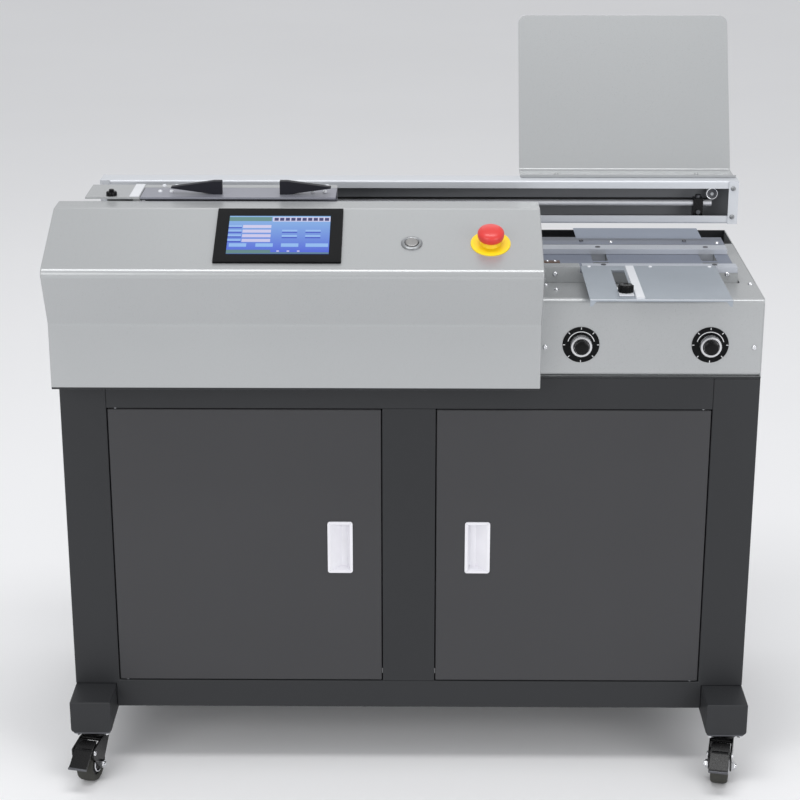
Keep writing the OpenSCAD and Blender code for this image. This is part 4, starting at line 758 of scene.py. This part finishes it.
# Dials: black printed plates on the right cover with white ticks and an arc, each with a turned aluminium
# knob that has a black domed cap.
print_white = made_finish("print_white", (222, 222, 224), (0.4, 0.5), tone=0.03, tone_size=60)
knob_aluminium = made_finish("knob_aluminium", (206, 206, 208), (0.16, 0.3), metal=0.9, tone_size=90,
                             grain=500, stretch=(1, 10, 1))
gloss_black = made_finish("gloss_black", (9, 9, 10), (0.2, 0.32), tone=0.1, tone_size=50, coat=0.03,
                          shine=0.16)
dial_r, plate_t, tick = 28.5, 1.5, 0.2
dials = bmesh.new()
for side in ("left", "right"):
    x, _, z = cad_middle(side + "_knob")
    place = at(x, cover_front, z) @ to_front
    joined(dials, turned([(0, -20), (12, -20), (12.5, -19), (12.5, -2.2), (5, -2), (5, 0), (dial_r, 0),
                          (dial_r, 1), (dial_r - 0.5, plate_t), (3, plate_t), (3, 17.5), (0, 17.5)], 64),
           place)
    for i in range(8):
        mark = bmesh.new()
        add_block(mark, (-0.55, 24.6, plate_t - tick), (0.55, 28, plate_t + tick))
        joined(dials, painted(mark, 1), place @ Matrix.Rotation(math.tau * i / 8, 4, "Z"))
    arc = bmesh.new()
    arc.faces.new([arc.verts.new((r, 0, h)) for r, h in ((20.4, plate_t - tick), (21.6, plate_t - tick),
                                                         (21.6, plate_t + tick), (20.4, plate_t + tick))])
    bmesh.ops.spin(arc, geom=arc.verts[:] + arc.edges[:] + arc.faces[:], cent=(0, 0, 0), axis=(0, 0, 1),
                   dvec=(0, 0, 0), angle=math.radians(150), steps=30, use_merge=False, use_duplicate=False)
    bmesh.ops.recalc_face_normals(arc, faces=arc.faces)
    joined(dials, painted(arc, 1), place @ Matrix.Rotation(math.radians(15), 4, "Z"))

    knob = turned([(3.2, 2.1), (16.2, 2.1), (17, 2.8), (17, 11.6), (15.8, 13.6), (13.6, 14.1), (12, 13.6),
                   (11.2, 12.4), (3.2, 12.4)], 72, closed=True)
    joined(knob, turned([(0, 19.2), (3.2, 19.2), (3.2, 12.2), (11, 12.2), (11, 19.6), (10.2, 21.2),
                         (8.4, 21.9), (5, 22.1), (0, 22.1)], 56, index=1))
    knob.transform(place)
    finished(side + "_dial_knob", knob, [knob_aluminium, gloss_black], side + "_knob", "chrome",
             side + "_knob")
finished("dial_plates", dials, [black_plastic, print_white], "frame", "black_plastic", "dial_controls")


# Cover screws: round-headed machine screws, bright ones in the right cover and satin ones in the flanges of
# the beam's end plates.
screws = bmesh.new()
end_low, end_high = cad_mm("beam_end_plates")
for x in (cover_low.x + 10, cover_high.x - 13):
    joined(screws, button_head(8, 2.5), at(x, cover_front, cad_mm("cover_screws")[0].z + 4) @ to_front)
for x, y in ((cover_low.x + 14, cover_front + 78), (cover_low.x + 29, cover_front + 52),
             (cover_high.x - 10, cover_front + 86)):
    joined(screws, button_head(8, 2.5), at(x, y, cover_high.z))
for z in (end_low.z + 12, end_high.z - 12):
    joined(screws, button_head(8, 2.5, 1), at(end_high.x - 9, end_low.y, z) @ to_front)
joined(screws, button_head(8, 2.5, 1), at(end_low.x + 9, end_low.y, end_high.z - 12) @ to_front)
finished("round_screws", screws, [bright_steel, satin_ring], "frame", "chrome", "cover_screws")


# Beam: a silver C-channel folded from 3 mm sheet and open to the front, on two square posts with bolted
# foot plates. Plates with flanges close its ends, and the idler's stud is welded inside.
beam_low, beam_high = cad_mm("beam_channel")
idler_x, _, pulley_z = cad_middle("idler_pulley")
drive_x, pulley_y = cad_middle("drive_pulley").x, cad_mm("drive_pulley")[0].y
beam_t, bevel, low_lip, top_lip = 3, 14, 13, 12.5
# The beam's paint is the console's silver made lighter: painted light, standing in for the light that the
# set-back beam and its end plates do not get.
painted_light_beam_silver = made_finish("painted_light_beam_silver", (204, 207, 212), (0.28, 0.4), metal=0.3, tone=0.015, tone_size=2.5,
                          grain=1300)
beam = bent_sheet([(beam_low.y, beam_low.z + low_lip), (beam_low.y, beam_low.z), (beam_high.y, beam_low.z),
                   (beam_high.y, beam_high.z - bevel), (beam_high.y - bevel, beam_high.z),
                   (beam_low.y, beam_high.z), (beam_low.y, beam_high.z - top_lip)], beam_low.x, beam_high.x,
                  beam_t, 3.5, (0, -1, 0))
beam.normal_update()
# Faces inside the channel take a darker grey: painted shade for the shadow inside the channel.
for face in beam.faces:
    middle = face.calc_center_median()
    if beam_low.y + beam_t < middle.y < beam_high.y - 1 and beam_low.z + 1 < middle.z < beam_high.z - 1:
        face.material_index = 1
stud_len = beam_high.y - beam_t - pulley_y + 1
joined(beam, turned([(0, 0), (2.4, 0), (2.9, 0.5), (2.9, stud_len), (0, stud_len)], 28),
       at(idler_x, pulley_y - 1, pulley_z) @ to_back)
painted_shade_inside = made_finish("beam_painted_shade_inside", (132, 134, 138), (0.4, 0.55), metal=0.2, tone=0.03, tone_size=4)
finished("beam_sheet", beam, [painted_light_beam_silver, painted_shade_inside], "frame", "silver_paint", "beam_channel")

finished("beam_end_sheets", cad_copy("beam_end_plates", 0.9), painted_light_beam_silver, "frame", "silver_paint",
         "beam_end_plates")

post_low, post_high = cad_mm("beam_posts")
post_side, foot_t, foot_out, bolt_out = post_high.y - post_low.y, 6, 14, 6
posts = bmesh.new()
for left in (post_low.x, post_high.x - post_side):
    add_soft_block(posts, (left, post_low.y, post_low.z + foot_t),
                   (left + post_side, post_high.y, post_high.z), 3, 3)
    add_soft_block(posts, (left - foot_out, post_low.y - foot_out, post_low.z),
                   (left + post_side + foot_out, post_high.y + foot_out, post_low.z + foot_t), 1)
    for x in (left - bolt_out, left + post_side + bolt_out):
        for y in (post_low.y - bolt_out, post_high.y + bolt_out):
            joined(posts, hex_head(8, 4, 1), at(x, y, post_low.z + foot_t))
finished("beam_post_tubes", posts, [silver, dark_zinc], "frame", "silver_paint", "beam_posts")


# Guide rod and clamps: a ground chrome rod along the beam, held at both ends by black steel blocks that are
# slit and drawn together by a bolt.
rod_low, rod_high = cad_mm("guide_rod")
_, rod_y, rod_z = cad_middle("guide_rod")
rod_len = rod_high.x - rod_low.x
rod = turned([(0, 0), (4.2, 0), (5, 0.8), (5, rod_len - 0.8), (4.2, rod_len), (0, rod_len)], 40)
rod.transform(at(rod_low.x, rod_y, rod_z) @ along_axle)
ground_chrome = made_finish("ground_chrome", (226, 227, 231), (0.14, 0.26), metal=0.55, tone=0.03,
                            tone_size=60)
finished("chrome_rod", rod, ground_chrome, "frame", "chrome", "guide_rod")

clamp_low, clamp_high = cad_mm("rod_supports")
clamps = cad_copy("rod_supports", 0.8)
for x in (clamp_low.x + 5, clamp_high.x - 8):
    joined(clamps, hex_head(7, 4, 1), at(x, clamp_low.y, rod_z - 13) @ to_front)
joined(clamps, turned([(0, 0), (4.6, 0), (5, 0.4), (5, 4.6), (4.4, 5.2), (0, 5.2)], 28, index=1),
       at(clamp_high.x - 8, rod_y, clamp_high.z))
finished("rod_clamps", clamps, [black_enamel, dark_zinc], "frame", "black_metal", "rod_supports")


# Carriage drive: a small black stepping motor on the beam's back, a toothed belt of black rubber and two
# turned pulleys with thin flanges.
motor_low, motor_high = cad_mm("carriage_motor")
motor_front, screw_gap = beam_high.y, motor_high.x - motor_low.x - 10
motor = bmesh.new()
for start, end, inset, index in ((0, 8, 0, 1), (8, 31, 0.8, 0), (31, 40, 0, 1)):
    part = bmesh.new()
    add_block(part, (motor_low.x + inset, motor_front + start, motor_low.z + inset),
              (motor_high.x - inset, motor_front + end, motor_high.z - inset))
    soften(part, 3.5, 3, choose=lambda e: reach(e, 1) > 1)
    joined(motor, painted(part, index))
shaft_len = motor_front - pulley_y + 1
joined(motor, turned([(0, 0), (2.5, 0), (2.95, 0.5), (2.95, shaft_len), (0, shaft_len)], 28, index=2),
       at(drive_x, pulley_y - 1, pulley_z) @ to_back)
for dx, dz in oblong(screw_gap, screw_gap):
    joined(motor, button_head(5, 1.6, 2), at(drive_x + dx, motor_high.y, pulley_z + dz) @ to_back)
finished("stepping_motor", motor, [black_enamel, dark_zinc, bright_steel], "frame", "black_metal",
         "carriage_motor")

belt_rubber = made_finish("belt_rubber", (34, 34, 35), (0.6, 0.75), tone=0.1, tone_size=60, grain=700,
                          depth=0.00008)
dress("drive_belt", belt_rubber)
for name, x in (("drive_pulley", drive_x), ("idler_pulley", idler_x)):
    pulley = turned([(3.05, 0.6), (7.4, 0.6), (8.2, 0), (9.3, 0), (9.6, 0.3), (9.2, 0.9), (8, 1), (8, 9),
                     (9.2, 9.1), (9.6, 9.7), (9.3, 10), (3.05, 10)], 48, closed=True)
    for face in pulley.faces:
        middle = face.calc_center_median()
        face.material_index = 1 if math.hypot(middle.x, middle.y) < 8.5 else 0
    pulley.transform(at(x, pulley_y, pulley_z) @ to_back)
    finished(name + "_wheel", pulley, [bright_steel, dark_zinc], name, "machined_steel", name)


# Document tray: one silver sheet with round top corners, leaning back from a ledge that is riveted on the
# beam's top. The ledge's front edge is folded down into a narrow lip.
tray_low, tray_high = cad_mm("document_tray")
tray_bend_y, ledge, lean, tray_len, tray_r = beam_high.y + 20, 50, math.radians(27), 268, 14
top_y, top_z = tray_bend_y + tray_len * math.sin(lean), beam_high.z + tray_len * math.cos(lean)
tray, _ = swept([(tray_bend_y - ledge, beam_high.z), (tray_bend_y, beam_high.z), (top_y, top_z)],
                tray_low.x, tray_high.x)
bevelled(tray, [v for v in tray.verts if v.co.z > top_z - 1], tray_r, 8, "VERTICES")
soften(tray, 4, 4, over=20)
tray.normal_update()
tray.faces.ensure_lookup_table()
if tray.faces[0].normal.z > 0:
    bmesh.ops.reverse_faces(tray, faces=tray.faces)
bmesh.ops.solidify(tray, geom=tray.faces[:], thickness=2)
soften(tray, 0.5, over=70)
add_soft_block(tray, (tray_low.x, tray_bend_y - ledge - 1.4, beam_high.z + 0.4),
               (tray_high.x + 2.5, tray_bend_y - ledge, beam_high.z + 5), 0.6)
rivet_in = 60
for x in (tray_low.x + rivet_in, tray_high.x - rivet_in):
    joined(tray, button_head(7, 2), at(x, beam_high.y - 12, beam_high.z + 2))
finished("tray_sheet", tray, silver, "frame", "silver_paint", "document_tray")


# Clamp carriage: a silver top plate with a wing, a fixed jaw below it, two steel pins and two bored arms
# that run on the rod. A pale strip, a small black knob and white-headed screws stand on the plate.
jaw_low, jaw_high = cad_mm("clamp_jaw")
plate_top, jaw_left, jaw_right = cad_mm("carriage_plate")[1].z, jaw_low.x, jaw_high.x
pale_strip = made_finish("pale_strip", (218, 220, 224), (0.3, 0.42), metal=0.1, tone=0.03, tone_size=20)
carriage = cad_copy("carriage_plate", 0.7)
strip = outline_plate([(0, 0), (15, 0), (15, 84), (0, 84)], 1.6, corner=1, edge=0.4, index=1)
joined(carriage, strip, at(jaw_left - 17, jaw_low.y + 1, plate_top))
joined(carriage, turned([(0, 0), (8, 0), (8.6, 0.6), (8.6, 5), (7.6, 6.4), (4, 6.8), (4, 9.4), (3.2, 10),
                         (0, 10)], 12, index=2), at(jaw_left - 46, jaw_low.y + 12, plate_top))
for x in (jaw_left + 29, jaw_left + 49, jaw_right - 16):
    joined(carriage, button_head(7, 3.2, 1), at(x, jaw_high.y + 10, plate_top))
finished("carriage_top", carriage, [silver, pale_strip, gloss_black], "carriage", "silver_paint",
         "carriage_plate")


# Moving jaw: a grey plate with the front jaw below it, bored for the carriage's pins, and two dark grey
# book guides screwed on top with their points outwards.
jaw = cad_copy("clamp_jaw", 0.7)
for x in (jaw_left + 27, jaw_left + 45, jaw_right - 37, jaw_right - 18):
    joined(jaw, button_head(7, 3.2, 1), at(x, jaw_low.y + 36, plate_top))
jaw_grey = made_finish("jaw_grey", (140, 141, 151), (0.3, 0.42), metal=0.35, tone=0.02, tone_size=3,
                       grain=1200)
finished("front_jaw", jaw, [jaw_grey, pale_strip], "clamp_jaw", "silver_paint", "clamp_jaw")
guide_grey = made_finish("guide_grey", (32, 32, 39), (0.4, 0.55), tone=0.06, tone_size=25, depth=0.00005,
                         shine=0.15)
finished("arrow_guides", cad_copy("book_guides", 0.6), guide_grey, "clamp_jaw", "black_plastic",
         "book_guides")


# Milling station: an upright black motor with cooling ribs on a bolted foot, and a steel cutter disc with
# twelve inserted tips on its shaft.
mill_low, mill_high = cad_mm("milling_motor")
mill_x, mill_y, _ = cad_middle("milling_motor")
mill_r = 45
body_low, body_high = mill_low.z + 8, cad_mm("milling_cutter")[0].z - 8
mill = outline_plate(oblong(120, 120), 8, corner=8, edge=1.2)
mill.transform(at(mill_x, mill_y, mill_low.z))
ribs = [(0, body_low), (mill_r, body_low)]
for i in range(14):
    rib = body_low + 8 + i * (body_high - body_low - 20) / 14
    ribs += [(mill_r, rib), (mill_r - 2.5, rib + 1.2), (mill_r - 2.5, rib + 4), (mill_r, rib + 5.2)]
ribs += [(mill_r, body_high - 3), (mill_r - 3, body_high), (7, body_high), (7, mill_high.z),
         (0, mill_high.z)]
joined(mill, turned(ribs, 56), at(mill_x, mill_y, 0))
for dx, dy in oblong(100, 100):
    joined(mill, hex_head(10, 5, 1), at(mill_x + dx, mill_y + dy, body_low))
finished("ribbed_motor", mill, [black_enamel, dark_zinc], "frame", "black_metal", "milling_motor")
finished("tipped_cutter", cad_copy("milling_cutter", 0.4), machined, "milling_cutter", "machined_steel",
         "milling_cutter")


# Gluing station: a cast glue pot with round edges on its pedestal, and two turned steel rollers with
# chamfered ends.
finished("cast_glue_pot", cad_copy("glue_pot", 1.2, segments=3), machined, "frame", "machined_steel",
         "glue_pot")
for name in ("front_glue_roller", "rear_glue_roller"):
    low, high = cad_mm(name)
    half, end, r = 30, (high.y - low.y) / 2, (high.z - low.z) / 2
    roller = turned(mirrored([(0, -end), (4.4, -end), (5, 0.6 - end), (5, -half), (r - 1, -half),
                              (r, 1 - half)]), 72)
    roller.transform(at(*cad_middle(name)) @ to_back)
    finished(name + "_drum", roller, machined, name, "machined_steel", name)


# Cover station base: a steel floor plate with slots for the nip blocks, a raised rear bar and legs on the
# deck, with the screws that hold it and a small brown cable block at its left.
base_low, base_high = cad_mm("nip_base")
table_low, table_high = cad_mm("front_cover_table")
table_top = cad_mm("rear_cover_table")[1].z
floor_z, rear_bar_y, cable_y = table_top - 9, 50, -43
brown_block = made_finish("brown_block", (92, 72, 62), (0.4, 0.55), tone=0.08, tone_size=60)
floor_grey = made_finish("floor_grey", (120, 126, 140), (0.34, 0.48), metal=0.15, tone=0.06, tone_size=12)
station = cad_copy("nip_base", 0.9)
station.normal_update()
for face in station.faces:
    middle = face.calc_center_median()
    if face.normal.z > 0.9 and (middle.z < floor_z + 0.1 or middle.y > rear_bar_y):
        face.material_index = 4
for x in (base_low.x + 26, base_high.x - 17):
    joined(station, button_head(8, 2.5, 1), at(x, base_low.y, floor_z - 2) @ to_front)
for x, y, index in ((79, 82, 2), (248, 82, 2), (127, 73, 1), (300, 68, 1)):
    joined(station, button_head(7, 2.4, index), at(base_low.x + x, y, table_top))
add_soft_block(station, (base_low.x + 7, cable_y - 7, floor_z), (base_low.x + 36, cable_y + 7, floor_z + 8),
               1, index=3)
for x in (base_low.x + 16, base_low.x + 28):
    joined(station, button_head(5, 1.8, 1), at(x, cable_y, floor_z + 8))
finished("nip_floor_plate", station, [silver, bright_steel, dark_zinc, brown_block, floor_grey], "frame",
         "silver_paint", "nip_base")
dress("nip_guide_rods", machined)


# Nip bars: ground steel bars with bored blocks below that slide on the guide rods. Countersunk screws join
# bar and block.
ground_bar = made_finish("ground_bar", (189, 193, 201), (0.26, 0.4), metal=0.35, tone=0.04, tone_size=14,
                         grain=500, stretch=(1, 10, 10))
blocks_x = (306, 481)
for name, body, holes_y in (("front_nip_jaw", "front_nip", -66), ("rear_nip_jaw", "rear_nip", 44)):
    bar = cad_copy(name, 0.8)
    for x in blocks_x:
        joined(bar, turned([(0, 0.3), (1.4, 0.3), (1.6, 0.7), (4, 0.7), (4.3, 0.2), (4.3, -1), (0, -1)], 28,
                           index=1), at(x, holes_y, table_top))
    finished(name + "_bar", bar, [ground_bar, dark_zinc], body, "machined_steel", name)


# Cover tables: satin aluminium sheets in front of and behind the nip. The front one rides on its bar and
# has a rolled front edge, narrow corner tabs, a pale fence and a long slot for the side gauge's black knob.
table = cad_copy("front_cover_table", 0.5, over=60)
gauge_low, gauge_high = cad_mm("side_gauge")
gauge_x, gauge_y, slide_z = cad_middle("side_gauge").x, gauge_low.y + 19.5, gauge_high.z - 12
slot_more, slot_rear, slide_rear = 24, gauge_y + 110, gauge_y + 24
for v in table.verts:
    if abs(v.co.x - gauge_x) < 12 and abs(v.co.y - slot_rear) < 2:
        v.co.y += slot_more
solid_tab_w, tab_w = 10, 4
for v in table.verts:
    if v.co.z < table_top - 2.2 and v.co.y < table_low.y + 3:
        if table_low.x + tab_w < v.co.x < table_low.x + 2 * solid_tab_w:
            v.co.x -= solid_tab_w - tab_w
        elif table_high.x - 2 * solid_tab_w < v.co.x < table_high.x - tab_w:
            v.co.x += solid_tab_w - tab_w
roll_len = table_high.x - table_low.x
roll = turned([(0, 0), (1.2, 0), (1.5, 0.3), (1.5, roll_len - 0.3), (1.2, roll_len), (0, roll_len)], 20)
joined(table, roll, at(table_low.x, table_low.y + 1, table_top - 1) @ along_axle)
for x in (table_low.x + 13, table_low.x + 109, table_high.x - 10):
    joined(table, button_head(6, 1.6, 1), at(x, table_high.y - 5, table_top))
for face in table.faces:
    if face.calc_center_median().z > table_top + 0.3:
        face.material_index = 1
finished("front_table_sheet", table, [satin_aluminium, pale_strip], "front_nip", "table_aluminium",
         "front_cover_table")
blue_aluminium = made_finish("rear_table_aluminium", (159, 169, 187), (0.36, 0.48), metal=0.3, tone=0.04,
                             tone_size=8, grain=420, depth=0.00002, stretch=(1, 14, 1))
finished("rear_table_sheet", cad_copy("rear_cover_table", 0.6), blue_aluminium, "frame", "table_aluminium",
         "rear_cover_table")
gauge = turned([(0, gauge_low.z), (11.4, gauge_low.z), (12, gauge_low.z + 0.5), (12, gauge_low.z + 2.6),
                (9.5, gauge_low.z + 3), (9.5, slide_z - 1), (0, slide_z - 1)], 48)
joined(gauge, turned([(0, 0), (10, 0), (10.6, 0.6), (10.6, 9.4), (9.4, 11.6), (4, 12), (3.4, 11.2),
                      (0, 11.2)], 48), at(0, 0, slide_z))
for i in range(12):
    flute = turned([(0, 0.3), (1.5, 0.3), (1.7, 0.7), (1.7, 9.4), (1.1, 10.4), (0, 10.6)], 12)
    joined(gauge, flute, Matrix.Rotation(math.tau * i / 12, 4, "Z") @ at(10.2, 0, slide_z))
gauge.transform(at(gauge_x, gauge_y, 0))
add_soft_block(gauge, (gauge_x - 11, gauge_low.y, slide_z - 2), (gauge_x + 11, slide_rear, slide_z), 0.5,
               index=1)
finished("gauge_knob", gauge, [gloss_black, pale_strip], "side_gauge", "black_plastic", "side_gauge")
